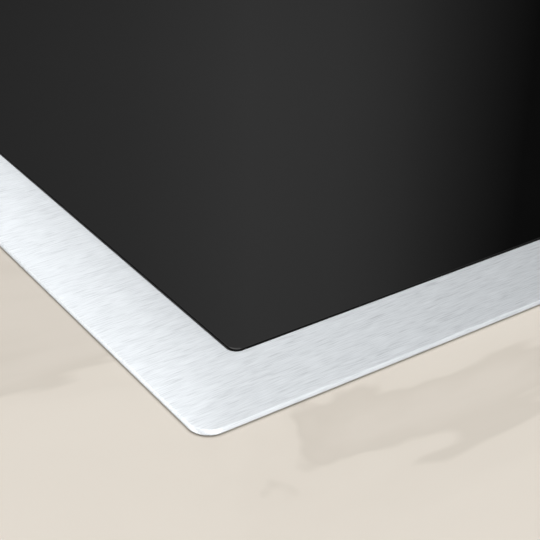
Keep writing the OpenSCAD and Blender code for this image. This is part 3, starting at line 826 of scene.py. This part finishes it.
def terminal_cover():
    """The hinged cover with its ribs and the knuckle round its pin."""
    low, high = span_of("terminal_cover")
    t = 2.0
    x = middle("terminal_cover").x
    up = stand(x, low.y + t, 0, 90, "X")
    cover = Form()
    base = low.z + 5.2
    cover.slab((high.x - low.x, high.z - base, t), (0, (high.z + base) / 2, 0), 2.2, 0.35, place=up)
    for i in range(5):
        cover.slab((high.x - low.x - 16, 1.6, 0.9), (0, base + 5 + i * 5.2, -0.9), 0.7, 0.3, place=up)
    pin = middle("cover_pin")
    knuckle = high.x - low.x - 24
    profile = [(1.05, 0), (1.9, 0), (2.15, 0.3), (2.15, knuckle - 0.3), (1.9, knuckle), (1.05, knuckle)]
    cover.lathe(profile, 32, stand(x - knuckle / 2, pin.y, pin.z, 90, "Y"))
    cover.slab((knuckle, base - pin.z + 0.5, t), (0, (base + pin.z) / 2 + 0.2, 0), 0.3, 0.2, place=up)
    piece("terminal_cover_moulding", cover, TERMINAL_PLASTIC, "cover",
        ["terminal_cover"], smooth=40)


def cable_gland():
    """A hex body and ribbed dome nut outside, a thread and lock nut inside, with a rubber seal."""
    low, high = span_of("cable_gland")
    wall = BOX_HIGH.y
    at = middle("cable_gland")
    place = stand(at.x, wall, at.z, -90, "X")
    inside, outside = low.y - wall, high.y - wall
    body = Form()
    thread = [(8, inside)]
    for i in range(int(-inside / 0.75)):
        thread += [(9.4, inside + 0.75 * i), (10, inside + 0.75 * (i + 0.5))]
    thread += [(9.4, 0), (10, 0), (10, 4.6), (8, 4.6)]
    body.lathe(thread, 48, place)
    hexes = [(11.3, 0), (12.9, 0.5), (12.9, 4.4), (11.9, 5)]
    hex_nut(body, hexes, 8.2, place)
    hex_nut(body, [(11.9, inside + 3.4), (12.9, inside + 3.9), (12.9, -1.3), (11.9, -0.85)], 10.02,
        place)
    piece("gland_body", body, GLAND_PLASTIC, replaces=["cable_gland"], smooth=30)
    nut = Form()
    rings = []
    for i in range(96):
        a = 2 * pi * i / 96
        rib = 0.35 if i % 4 < 2 else 0.0
        section = [(8.05, 5), (10.4 + rib, 5), (10.65 + rib, 5.4), (10.65 + rib, 9.6), (10.2, 10.6),
            (9.4, outside - 0.6), (8.9, outside), (8.05, outside)]
        rings.append([(r * cos(a), r * sin(a), z) for r, z in section])
    nut.loft(rings, True, place=place)
    piece("gland_dome_nut", nut, GLAND_PLASTIC, smooth=30)
    seal = Form()
    seal.lathe([(7.2, 6), (7.95, 5.6), (7.95, outside - 1), (7.3, outside - 0.5), (7.0, 9)], 48, place)
    piece("gland_seal", seal, NITRILE)


def hex_nut(form, profile, bore, place):
    """A hexagon with chamfered corners and a round bore."""
    rings = []
    for i in range(48):
        a = 2 * pi * i / 48
        flat = cos(radians(30)) / cos((a + pi / 6) % (pi / 3) - pi / 6)
        corner = profile[1][0]
        section = [(min(r, corner * flat) if r < corner else r * flat, z) for r, z in profile]
        section += [(bore, profile[-1][1]), (bore, profile[0][1])]
        rings.append([(r * cos(a), r * sin(a), z) for r, z in section])
    form.loft(rings, True, place=place)


def terminal_screws():
    """Slotted brass screws in the terminal strip's wells."""
    low, high = span_of("terminal_block")
    solid, cutter, form = Form(), Form(), Form()
    solid.lathe([(0, 2.4), (2, 2.4), (2.6, 1.9), (2.6, 0), (0, 0)], 24)
    cutter.prism([(-3, -0.4), (3, -0.4), (3, 0.4), (-3, 0.4)], 1.3, 4)
    screw = solid.less(cutter)
    pitch = (high.x - low.x) / 5
    for i in range(5):
        form.copy(screw, stand(low.x + pitch * (i + 0.5), (low.y + high.y) / 2 + 3, high.z - 5, 20 * i))
    piece("terminal_screws", form, BRASS)


# ---- coil trays

TRAY_X, TRAY_Y = 215, 24
POST_X, POST_Y = 105, 197


def posts(side):
    """Where the four posts of a tray stand."""
    mid = SIDES[side] * TRAY_X
    return [(mid + sx * POST_X, TRAY_Y + sy * POST_Y) for sx in (-1, 1) for sy in (-1, 1)]


def tray_posts():
    """Turned shoulder posts, slotted on top."""
    low, high = span_of("tray_posts")
    solid, cutter, form = Form(), Form(), Form()
    z0, z1 = low.z, high.z
    solid.lathe([(0, z1), (4.6, z1), (5, z1 - 0.4), (5, z1 - 1.5), (3, z1 - 1.5), (3, 12.6), (3.4, 12),
        (6.1, 12), (6.5, 11.6), (6.5, z0 + 3), (6.1, z0 + 2.6), (6.1, z0 + 1.6), (6.5, z0 + 1.2),
        (6.5, z0), (0, z0)], 32)
    cutter.prism([(-6, -0.5), (6, -0.5), (6, 0.5), (-6, 0.5)], z1 - 0.7, z1 + 1)
    post = solid.less(cutter)
    for side in SIDES:
        for i, (x, y) in enumerate(posts(side)):
            form.copy(post, stand(x, y, 0, 25 + 40 * i))
    piece("tray_post_set", form, ZINC, replaces=["tray_posts"], smooth=30)


def coil_spring(form, x, y, radius, low, high, turns, wire_r, ends=1.0):
    """A compression spring, its end turns wound flat."""
    steps = 20
    path = []
    total = int((turns + 2 * ends) * steps)
    for i in range(total + 1):
        t = i / steps
        share = min(max((t - ends) / turns, 0.0), 1.0)
        shut = wire_r + min(t, ends) * 2 * wire_r * 0.9
        tail = min(turns + 2 * ends - t, ends) * 2 * wire_r * 0.9
        bottom = low + shut
        top = high - wire_r - tail
        z = bottom + (top - bottom) * (share * share * (3 - 2 * share) * 0.3 + share * 0.7)
        a = 2 * pi * t
        path.append((x + radius * cos(a), y + radius * sin(a), z))
    form.wire(path, wire_r, 8)


def tray_springs(side):
    """Springs round the posts under a tray, attached to no body."""
    node = "tray_springs_" + side
    low, high = span_of(node)
    form = Form()
    for x, y in posts(side):
        coil_spring(form, x, y, 4.25, low.z, high.z, turns=7, wire_r=0.6)
    obj = piece("springs_under_tray_" + side, form, SPRING_WIRE, None, [node], smooth=60)
    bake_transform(obj)


def winding(coil):
    """Two layers of litz wire wound as a flat spiral, the second on the first."""
    node = "winding_" + coil
    low, high = span_of(node)
    at = middle(node)
    wire_r = (high.z - low.z) / 4
    hole_r = 24
    outer, inner = (high.x - low.x) / 2 - wire_r, hole_r + wire_r
    turns = (outer - inner) / (2 * wire_r)
    steps = 40
    form = Form()
    for layer in (-1, 1):
        path = []
        for i in range(int(turns * steps) + 1):
            a = 2 * pi * i / steps
            r = inner + 2 * wire_r * i / steps
            path.append((r * cos(a), r * sin(a), layer * wire_r))
        form.wire(path, wire_r * 0.985, 8)
    piece("litz_spiral_" + coil, form, LITZ, "tray_" + coil.split("_")[1], [node],
        at=tuple(at), smooth=60)


def sensors(side):
    """Capsules on sprung stalks, with two thin leads each."""
    node = "sensors_" + side
    low, high = span_of(node)
    form = Form()
    for coil in COILS:
        if coil.endswith(side):
            at = middle("winding_" + coil)
            place = stand(at.x, at.y, low.z)
            h = high.z - low.z
            form.lathe([(0, 0), (1.9, 0), (2, 0.3), (2, 3.4), (3.9, 4), (4.4, 4.5), (4.4, h - 0.8),
                (3.6, h - 0.1), (2.2, h), (0, h)], 32, place)
            for lean in (-1, 1):
                form.wire([(lean * 1.1, -1.9, 0.8), (lean * 1.5, -3.4, 0.7), (lean * 1.6, -5.6, 0.6)],
                    0.35, 6, place)
    piece("sensor_capsules_" + side, form, SENSOR_CERAMIC, "tray_" + side, [node])


# ---- blowers

def blade(form, at, turn, low, high, inner, outer):
    """A forward-curved blade: thin, with rounded edges, and a little narrower at its free end."""
    points = []
    steps = 6
    for sign in (1, -1):
        for i in range(steps + 1):
            t = i / steps if sign > 0 else 1 - i / steps
            r = inner + (outer - inner) * t
            a = 0.26 * t ** 1.6
            thick = 0.12 + 0.36 * sin(pi * min(max(0.12 + 0.76 * t, 0), 1))
            a += sign * thick / r
            points.append((r * cos(a), r * sin(a)))
    form.prism(points, low, high, 0.995, stand(at.x, at.y, 0, turn))


def rotor(side):
    """A backed wheel with a cup over the motor and a ring of curved blades."""
    node = "fan_rotor_" + side
    low, high = span_of(node)
    at = middle("fan_shaft_" + side)
    top, bottom = high.z, low.z
    form = Form()
    cup = bottom + 8
    profile = [(1.55, cup), (4, cup), (15, cup), (15.7, cup + 0.3), (16, cup + 1), (16, top - 1.6),
        (16.4, top - 1.2), (39.4, top - 1.2), (39.95, top - 0.9), (39.95, top - 0.2), (39.7, top),
        (14.8, top), (14.8, cup + 1.7), (14.4, cup + 1.3), (4.5, cup + 1.3), (4, cup + 1.7),
        (4, cup + 2.7), (1.55, cup + 2.7)]
    place = stand(at.x, at.y, 0)
    form.lathe(profile, 64, place)
    form.lathe([(38.9, bottom), (39.95, bottom), (39.95, bottom + 1.5), (39.6, bottom + 1.9),
        (38.9, bottom + 1.6)], 64, place)
    blades = 22
    for i in range(blades):
        blade(form, at, i * 360 / blades, bottom + 0.1, top - 1.1, inner=30.5, outer=39.3)
    for i in range(6):
        arm = stand(at.x, at.y, 0, 60 * i)
        form.slab((7, 1, 1.6), (9.5, 0, cup + 1.2), 0.3, 0.2, place=arm)
    piece("blower_wheel_" + side, form, ROTOR_PLASTIC, "rotor_" + side, [node],
        smooth=40)


def stator():
    """Six wound poles on a laminated core, round the bearing's tube."""
    low, high = span_of("fan_motors")
    cores, coils = Form(), Form()
    z0, z1 = low.z + 2, high.z - 2.4
    poles, neck, root_r, shoe_r, tip_r, wire_r = 6, 1.9, 5.6, 11.4, 13.4, 0.56
    half = neck + 0.55

    def spot(turn, along, across):
        """A point on the pole at an angle."""
        ux, uy = cos(radians(turn)), sin(radians(turn))
        return along * ux + across * uy, along * uy - across * ux

    for side in SIDES:
        at = middle("fan_shaft_" + side)
        star = []
        for a in range(0, 360, 360 // poles):
            star += [spot(a, root_r, neck), spot(a, shoe_r, neck)]
            star += arc(0, 0, tip_r, a - 23, a + 23, 5)
            star += [spot(a, shoe_r, -neck), spot(a, root_r, -neck)]
            for turn in range(4):
                r = 6.6 + 1.25 * turn
                loop = [(r, -half, z0 - 0.5), (r, half, z0 - 0.5), (r, half, z1 + 0.5),
                    (r, -half, z1 + 0.5), (r, -half, z0 - 0.5)]
                coils.wire(spline(loop, 4), wire_r, 6, stand(at.x, at.y, 0, a))
        cores.prism(star, z0, z1, place=stand(at.x, at.y, 0))
        cores.lathe([(3.55, low.z), (5, low.z), (5.4, low.z + 0.4), (5.4, high.z - 2),
            (9, high.z - 1.2), (9, high.z), (3.55, high.z)], 40, stand(at.x, at.y, 0))
    piece("stator_cores", cores, LAMINATIONS, replaces=["fan_motors"], smooth=30)
    piece("stator_coils", coils, COPPER, smooth=60)


# ---- electronics

LEADS, LEADS_Y, LEAD_PITCH, LEAD_R = 5, 20, 6, 1.25
HEADER_BASE, HEADER_TOP = 4.5, 8.6
BOARD_T = 1.6
SCREW_INSET = 5


def squared(turn, power):
    """Cosine and sine of an angle, pushed out towards a square."""
    return [copysign(abs(v) ** power, v) for v in (cos(turn), sin(turn))]


def toroid(core, wire, x, y, low, outer, inner, height, turns, wire_r):
    """A wound ring choke standing on its board."""
    mid_z = low + height / 2
    half_r, half_h = (outer - inner) / 2 - 2 * wire_r, height / 2 - 2 * wire_r
    rm = (outer + inner) / 2
    section = [squared(2 * pi * k / 20, 0.4) for k in range(20)]
    core.lathe([(rm + half_r * c, mid_z + half_h * s) for c, s in section], 48, stand(x, y, 0))
    path = []
    per_turn = 14
    for i in range(turns * per_turn + 1):
        c, s = squared(2 * pi * i / per_turn, 0.5)
        u = radians(15 + 330 * i / (turns * per_turn))
        r = rm + (half_r + wire_r) * c
        path.append((r * cos(u), r * sin(u), mid_z + (half_h + wire_r) * s))
    wire.wire(path, wire_r * 0.97, 6, stand(x, y, 0))


def plug(form, x, y, z, w, d, ways):
    """A white header with a way for each lead."""
    form.slab((w, d, HEADER_BASE), (x, y, z), 0.6, 0.3)
    for i in range(ways):
        at = y + (i - (ways - 1) / 2) * d / ways
        form.slab((w - 2, d / ways - 1.2, HEADER_TOP), (x, at, z), 0.5, 0.3, 0.5)


def legs(form, at, count, pitch, shape, wire_r):
    """Two rows of a chip's legs; shape gives points on a leg as (outward, upward)."""
    for i in range(count):
        x = at[0] + (i - (count - 1) / 2) * pitch
        for side in (-1, 1):
            form.wire([(x, at[1] + side * out, at[2] + up) for out, up in shape], wire_r, 5)


def power_parts(side):
    """Film and electrolytic capacitors, chokes, a relay, transistors and a plug."""
    x, y, z = top_of("power_board_" + side)
    films, sleeves, cans, cores, wires, chips, relay, plugs = (Form() for _ in range(8))
    for i in range(4):
        films.slab((22, 30, 21), (x - 66, y - 70 + i * 38, z), 1.4, 0.5, 0.35)
    for i in range(3):
        place = stand(x + 62, y - 66 + i * 32, z)
        sleeves.lathe([(10.2, 0), (11, 0.4), (11, 4), (10.5, 4.6), (11, 5.2), (11, 23.4), (10.6, 23.9),
            (8.6, 23.9), (8.6, 23.6), (10, 23.4), (10, 0)], 40, place)
        cans.lathe([(0, 0.1), (9.8, 0.1), (9.8, 23.2), (8.2, 23.6), (7.6, 23.2), (0, 23.2)], 40, place)
        for turn in (0, 60, 120):
            cans.slab((13, 0.5, 0.3), (0, 0, 23.1), 0.2, 0.1, place=place @ stand(0, 0, 0, turn))
    for i in range(2):
        toroid(cores, wires, x + 66, y + 34 + i * 34, z, outer=14, inner=6, height=13, turns=17,
            wire_r=0.8)
    relay.slab((26, 14, 12), (x - 66, y + 78, z), 0.8, 0.4, 0.4)
    for mid in (x - 24, x, x + 24):
        chips.slab((15.6, 4.4, 12), (mid, y - 86.6, z + 4), 0.4, 0.4)
        cans.slab((15.8, 1.2, 17), (mid, y - 83.7, z + 2.6), 0.5, 0.2)
        for leg in (mid - 5.4, mid, mid + 5.4):
            cans.wire([(leg, y - 86.4, z + 4.4), (leg, y - 86.4, z)], 0.5, 6)
    for row in range(2):
        at = (x - 30 + row * 22, y + 89, z)
        chips.slab((14, 7, 3.2), at, 0.4, 0.3)
        legs(cans, at, 7, 1.9, [(3.3, 1.8), (4.4, 1.7), (4.6, 0)], 0.28)
    plug(plugs, x - SIDES[side] * 88, LEADS_Y, z, 10, 30, LEADS)
    for name, form, material in (("film_capacitors", films, FILM_BOX),
            ("capacitor_sleeves", sleeves, SLEEVE), ("capacitor_cans_and_tabs", cans, CAN_ALUMINIUM),
            ("choke_cores", cores, CORE_GREY), ("choke_windings", wires, COPPER),
            ("transistors_and_chips", chips, CHIP_EPOXY), ("relay", relay, RELAY_BLUE),
            ("lead_header", plugs, NYLON)):
        piece(f"{name}_{side}", form, material, replaces=["power_parts_" + side])


def filter_parts():
    """Common-mode chokes, capacitors, relays, a small transformer and sockets."""
    x, y, z = top_of("filter_board")
    films, cores, wires, relays, plugs, tape = (Form() for _ in range(6))
    for i in (-1, 1):
        toroid(cores, wires, x + i * 38, y + 38, z, outer=19, inner=9, height=17, turns=20, wire_r=0.95)
        relays.slab((30, 24, 17), (x + i * 37, y - 34, z), 1, 0.5, 0.4)
        plug(plugs, x + i * 60, LEADS_Y, z, 10, 30, LEADS)
    for i in range(3):
        films.slab((26, 15, 18), (x - 34 + i * 34, y - 2, z), 1.2, 0.5, 0.35)
    tape.slab((17, 14, 19.6), (x, y - 36, z), 3, 0.6)
    plugs.slab((34, 8, 5.4), (x, y - 66, z), 0.7, 0.4)
    for end in (-1, 1):
        cores.slab((24, 8, 18), (x, y - 36 + end * 11, z), 0.5, 0.4)
        cores.slab((6, 28, 5), (x + end * 9, y - 36, z + 13), 0.4, 0.3)
        plugs.slab((4, 8, 7.9), (x + end * 15, y - 66, z), 0.6, 0.4)
    for name, form, material in (("filter_film_capacitors", films, FILM_BOX),
            ("filter_cores", cores, CORE_GREY), ("filter_windings", wires, COPPER),
            ("filter_relays", relays, RELAY_BLUE), ("filter_sockets", plugs, NYLON),
            ("transformer_tape", tape, TAPE)):
        piece(name, form, material, replaces=["filter_parts"])


def board_corners():
    """Where the screws stand on the three boards."""
    places = []
    for node in ("power_board_left", "power_board_right", "filter_board"):
        low, high = span_of(node)
        for x in (low.x + SCREW_INSET, high.x - SCREW_INSET):
            places += [(x, y, high.z) for y in (low.y + SCREW_INSET, high.y - SCREW_INSET)]
    return places


def board_fixings():
    """Hexagonal spacers under the boards and screws through them."""
    low, high = span_of("board_spacers")
    spacers, screws = Form(), Form()
    screw = pan_head(shank_r=1.4, length=6, head_r=2.7, head_h=1.8)
    for i, (x, y, z) in enumerate(board_corners()):
        hex_nut(spacers, [(2.6, low.z), (2.98, low.z + 0.3), (2.98, high.z - 0.3), (2.6, high.z)], 1.5,
            stand(x, y, 0, 11 * i))
        screws.copy(screw, stand(x, y, z, 17 * i))
    piece("hex_spacers", spacers, BRASS, replaces=["board_spacers"], smooth=30)
    piece("board_screw_set", screws, ZINC, replaces=["board_screws"])


def digit(form, x, y, z):
    """The seven bars of one number."""
    for dx, dy, w, d in ((0, 4, 4, 1), (0, 0, 4, 1), (0, -4, 4, 1), (-2.9, 2, 1, 3), (2.9, 2, 1, 3),
            (-2.9, -2, 1, 3), (2.9, -2, 1, 3)):
        form.slab((w, d, 0.25), (x + dx, y + dy, z), 0.35, 0.1)


def controls():
    """Touch springs, number displays and the parts between them."""
    low, high = span_of("touch_springs")
    springs, cases, bars, chips, pins = (Form() for _ in range(5))
    for x, y in touch_places():
        coil_spring(springs, x, y, 3.4, low.z, high.z - 0.5, turns=4, wire_r=0.4, ends=0.8)
        springs.lathe([(0, high.z - 0.6), (3.7, high.z - 0.6), (3.8, high.z - 0.3), (3.6, high.z),
            (0, high.z)], 24, stand(x, y, 0))
    case_low, case_high = span_of("displays")
    size = case_high - case_low
    mid_y = (case_low.y + case_high.y) / 2
    for x in DISPLAY_X:
        cases.slab((18, size.y, size.z - 0.2), (x, mid_y, case_low.z), 0.6, 0.3, 0.15)
        for side in (-1, 1):
            digit(bars, x + side * 4.4, mid_y, case_high.z - 0.36)
    for x in DISPLAY_X[:-1]:
        at = (x + DISPLAY_PITCH / 2, mid_y, case_low.z)
        chips.slab((10, 6, 1.6), at, 0.4, 0.25)
        legs(pins, at, 6, 1.5, [(2.9, 0.9), (3.9, 0.8), (4.1, 0)], 0.2)
    piece("touch_spring_set", springs, GOLD_WIRE, replaces=["touch_springs"], smooth=60)
    piece("display_cases", cases, DISPLAY_BLACK, replaces=["displays"])
    piece("display_bars", bars, SEGMENT_MILK)
    piece("control_chips", chips, CHIP_EPOXY)
    piece("control_chip_legs", pins, CAN_ALUMINIUM)


def internal_cables():
    """A ridged ribbon from the controls and coloured leads to the power boards."""
    low, high = span_of("internal_cables")
    top = high.z - 0.45
    board_top = middle("filter_board").z + BOARD_T / 2
    run_z = board_top + 8.4
    guide = [(low.y, top), (low.y + 5, top), (low.y + 10, top - 0.4),
        (low.y + 16, (top + run_z) / 2 + 6), (low.y + 23, run_z + 5), (low.y + 30, run_z + 1),
        (low.y + 38, run_z), (0, run_z), (8, run_z)]
    ribbon = Form()
    rings = []
    path = spline([(0, y, z) for y, z in guide], 6)
    cores = 13
    for i, point in enumerate(path):
        along = (path[min(i + 1, len(path) - 1)] - path[max(i - 1, 0)]).normalized()
        up = Vector((0, -along.z, along.y))
        section = []
        for side in (1, -1):
            for k in range(cores * 4 + 1):
                t = k / 4 if side > 0 else cores - k / 4
                height = 0.2 + 0.24 * abs(sin(pi * t))
                section.append(point + Vector((2 * t - cores, 0, 0)) + up * height * side)
        rings.append(section)
    ribbon.loft(rings)
    piece("ribbon_cable", ribbon, RIBBON_GREY, replaces=["internal_cables"], smooth=60)
    lead_z = board_top + HEADER_BASE
    slack = [(64.6, 0, 0), (72, 0.1, 0.2), (93, 0.7, 1.5), (114, -0.2, 0.3), (122.2, 0, 0)]
    for name, material, wanted in (("power_leads_red", WIRE_RED, 0),
            ("power_leads_black", WIRE_BLACK, 1)):
        leads = Form()
        for side in SIDES.values():
            for i in range(-2, 3):
                if i % 2 == wanted:
                    y = LEADS_Y + i * LEAD_PITCH
                    guide = [(side * x, y + lean, lead_z - drop) for x, lean, drop in slack]
                    leads.wire(spline(guide, 5), LEAD_R, 10)
        piece(name, leads, material, smooth=60)


# ---- assembly

trim_frame()
glass_pane()
glass_marks()
side_screws()
corner_rivets()
for side in SIDES:
    for end in ("front", "rear"):
        side_clip(f"clip_{side}_{end}", SIDES[side], f"body_clip_{side}_{end}")
terminal_cover()
cable_gland()
terminal_screws()
tray_posts()
for coil in COILS:
    winding(coil)
for side in SIDES:
    tray_springs(side)
    sensors(side)
    rotor(side)
    power_parts(side)
stator()
filter_parts()
board_fixings()
controls()
internal_cables()

PLAIN = [("glass_seal", SILICONE, 0), ("worktop_gasket", FOAM, 0), ("burner_box", GALVANISED, 0.15),
    ("fan_covers", FAN_PLASTIC, 0.3), ("fan_bearings", BRONZE, 0.15), ("control_board", BOARD, 0.15),
    ("filter_board", BOARD, 0.15), ("control_housing", CONTROL_PLASTIC, 0.3),
    ("terminal_box", TERMINAL_PLASTIC, 0.3), ("terminal_block", BLOCK_PLASTIC, 0.3),
    ("cover_pin", SHAFT_STEEL, 0.2)]
for side in SIDES:
    PLAIN += [(f"coil_tray_{side}", TRAY_ALUMINIUM, 0.25), (f"ferrites_{side}", FERRITE, 0.35),
        (f"power_board_{side}", BOARD, 0.15), (f"heat_sink_{side}", SINK_ALUMINIUM, 0.2),
        (f"fan_housing_{side}", FAN_PLASTIC, 0.3), (f"fan_shaft_{side}", SHAFT_STEEL, 0.2)]
for coil in COILS:
    PLAIN += [(f"mica_{coil}", MICA, 0.1), (f"former_{coil}", FORMER_PLASTIC, 0.25)]
for node, material, ease in PLAIN:
    dress(node, material, ease)


# ---- camera and set

def camera():
    """Close on the front left corner, at the photographed angle."""
    elevation, azimuth, roll = 30.64, 34.78, 0.62
    cam = bpy.data.cameras.new("camera")
    cam.lens = 90.2
    cam.sensor_width = 36
    cam.clip_start = 0.01
    obj = link("camera", cam)
    turn = Matrix.Rotation(radians(-azimuth), 4, "Z")
    tilt = Matrix.Rotation(radians(90 - elevation), 4, "X")
    spin = Matrix.Rotation(radians(roll), 4, "Z")
    from_corner = Vector((-92.1, -151.9, 137.4))
    where = (Vector((-HALF_W, -HALF_D, TOP)) + from_corner) * MM
    obj.matrix_world = Matrix.Translation(where) @ turn @ tilt @ spin
    scene.camera = obj


def stone():
    """Pale beige stone with faint cloudy patches and their darker edges."""
    s = Shader("pale_stone", (0.64, 0.59, 0.52), 0.0, 0.45)
    cloud = s.noise((9, 16, 9), 4, 0.55, 0.6)
    fine = s.noise(120, 4, 0.5)
    s.color(cloud, [(0.34, (0.61, 0.558, 0.492)), (0.405, (0.575, 0.525, 0.459)),
        (0.425, (0.65, 0.597, 0.527)), (0.5, (0.665, 0.612, 0.541)), (0.7, (0.68, 0.625, 0.553))])
    s.rough(fine, 0.4, 0.5)
    s.bump(fine, 0.00001)
    return s.material


def floor_plain():
    """Pale, nearly even floor."""
    s = Shader("pale_floor", (0.8, 0.77, 0.73), 0.0, 0.6)
    fine = s.noise(40, 4, 0.5)
    s.color(fine, [(0.3, (0.745, 0.72, 0.685)), (0.7, (0.757, 0.732, 0.697))])
    return s.material


def stage():
    """A plain floor, and a corner of worktop for the rim to rest on."""
    far = 30000
    ground = Form()
    ground.add([(-far, -far, 0), (far, -far, 0), (far, far, 0), (-far, far, 0)], [(0, 1, 2, 3)])
    gasket_gap, thick, overlap = 0.26, 2.5, 14
    top = TOP - RIM_EDGE_T - gasket_gap
    xs = [-HALF_W + x for x in (-75, overlap, 130)]
    ys = [-HALF_D + y for y in (-90, overlap, 150)]
    slab = Form()
    slab.prism([(xs[0], ys[0]), (xs[2], ys[0]), (xs[2], ys[1]), (xs[1], ys[1]), (xs[1], ys[2]),
        (xs[0], ys[2])], top - thick, top)
    for name, form, material in (("floor", ground, floor_plain()), ("worktop_corner", slab, stone())):
        mesh = form.mesh(name, MM)
        mesh.materials.append(material)
        link(name, mesh)


def world():
    """A soft studio: bright overhead and at the horizon, with a dimmer band between them."""
    scene.world = bpy.data.worlds.new("studio")
    scene.world.use_nodes = True
    s = Nodes(scene.world.node_tree)
    x, y, z = s.split(s.add("TexCoord", {}, "Generated"))

    def curve(value, low, high, stops, peak):
        """Light levels along a value, through (value, level) stops."""
        levels = [((at - low) / (high - low), (level / peak,) * 3) for at, level in stops]
        return s.math("MULTIPLY", s.ramp(s.span(value, low, high), levels), peak)

    overhead = curve(x, -1, 1, [(-1, 0.95), (-0.5, 0.95), (-0.1, 1.3), (0.2, 2.53), (0.3, 1.71),
        (0.42, 1.08), (0.55, 1.32), (0.8, 1.88), (1, 1.3)], 3)
    overhead = s.math("MULTIPLY", overhead, s.span(z, 0.92, 0.995, 1.0, 0.7))
    turn = s.math("MULTIPLY", s.math("ARCTAN2", x, y), 180 / pi)
    band = curve(turn, -180, 180, [(-180, 0.55), (-125, 0.7), (-90, 1.0), (-60, 0.7), (-35, 0.35),
        (20, 0.17), (28, 0.225), (34, 0.30), (38, 0.275), (40.3, 0.23), (42.4, 0.15), (44.4, 0.085),
        (46.5, 0.026), (60, 0.03), (95, 0.35), (180, 0.55)], 1)
    low = s.math("MULTIPLY", band, s.span(z, 0.3, 0.62, 0.45, 1.5))
    horizon = s.add("MapRange", {"Value": z, "From Min": 0.19, "From Max": 0.31, "To Min": 0.85,
        "To Max": 0.0}, interpolation_type="SMOOTHSTEP")
    low = s.math("MAXIMUM", low, horizon)
    above = s.add("MapRange", {"Value": z, "From Min": 0.62, "From Max": 0.72},
        interpolation_type="SMOOTHSTEP")
    background = s.tree.nodes["Background"]
    s.plug(background.inputs["Color"], s.mix(above, low, overhead))


def softbox(name, where, target, size, power, only=None):
    """A rectangular light aimed at a point; it may light one piece only."""
    light = bpy.data.lights.new(name, "AREA")
    light.shape = "RECTANGLE"
    light.size, light.size_y = size
    light.energy = power
    obj = link(name, light)
    obj.location = where
    obj.rotation_euler = (Vector(target) - Vector(where)).to_track_quat("-Z", "Y").to_euler()
    if only:
        receivers = bpy.data.collections.new(name + "_receivers")
        receivers.objects.link(only)
        obj.light_linking.receiver_collection = receivers


camera()
stage()
world()
softbox("key", (-0.2, -0.9, 2.2), (0, 0, 0), (1.6, 1.6), 8)
softbox("edge", (-1.51, 0.49, 1.23), (-0.38, -0.26, 0.06), (1.0, 1.0), 7.5,
    bpy.data.objects["trim_frame_pressing"])
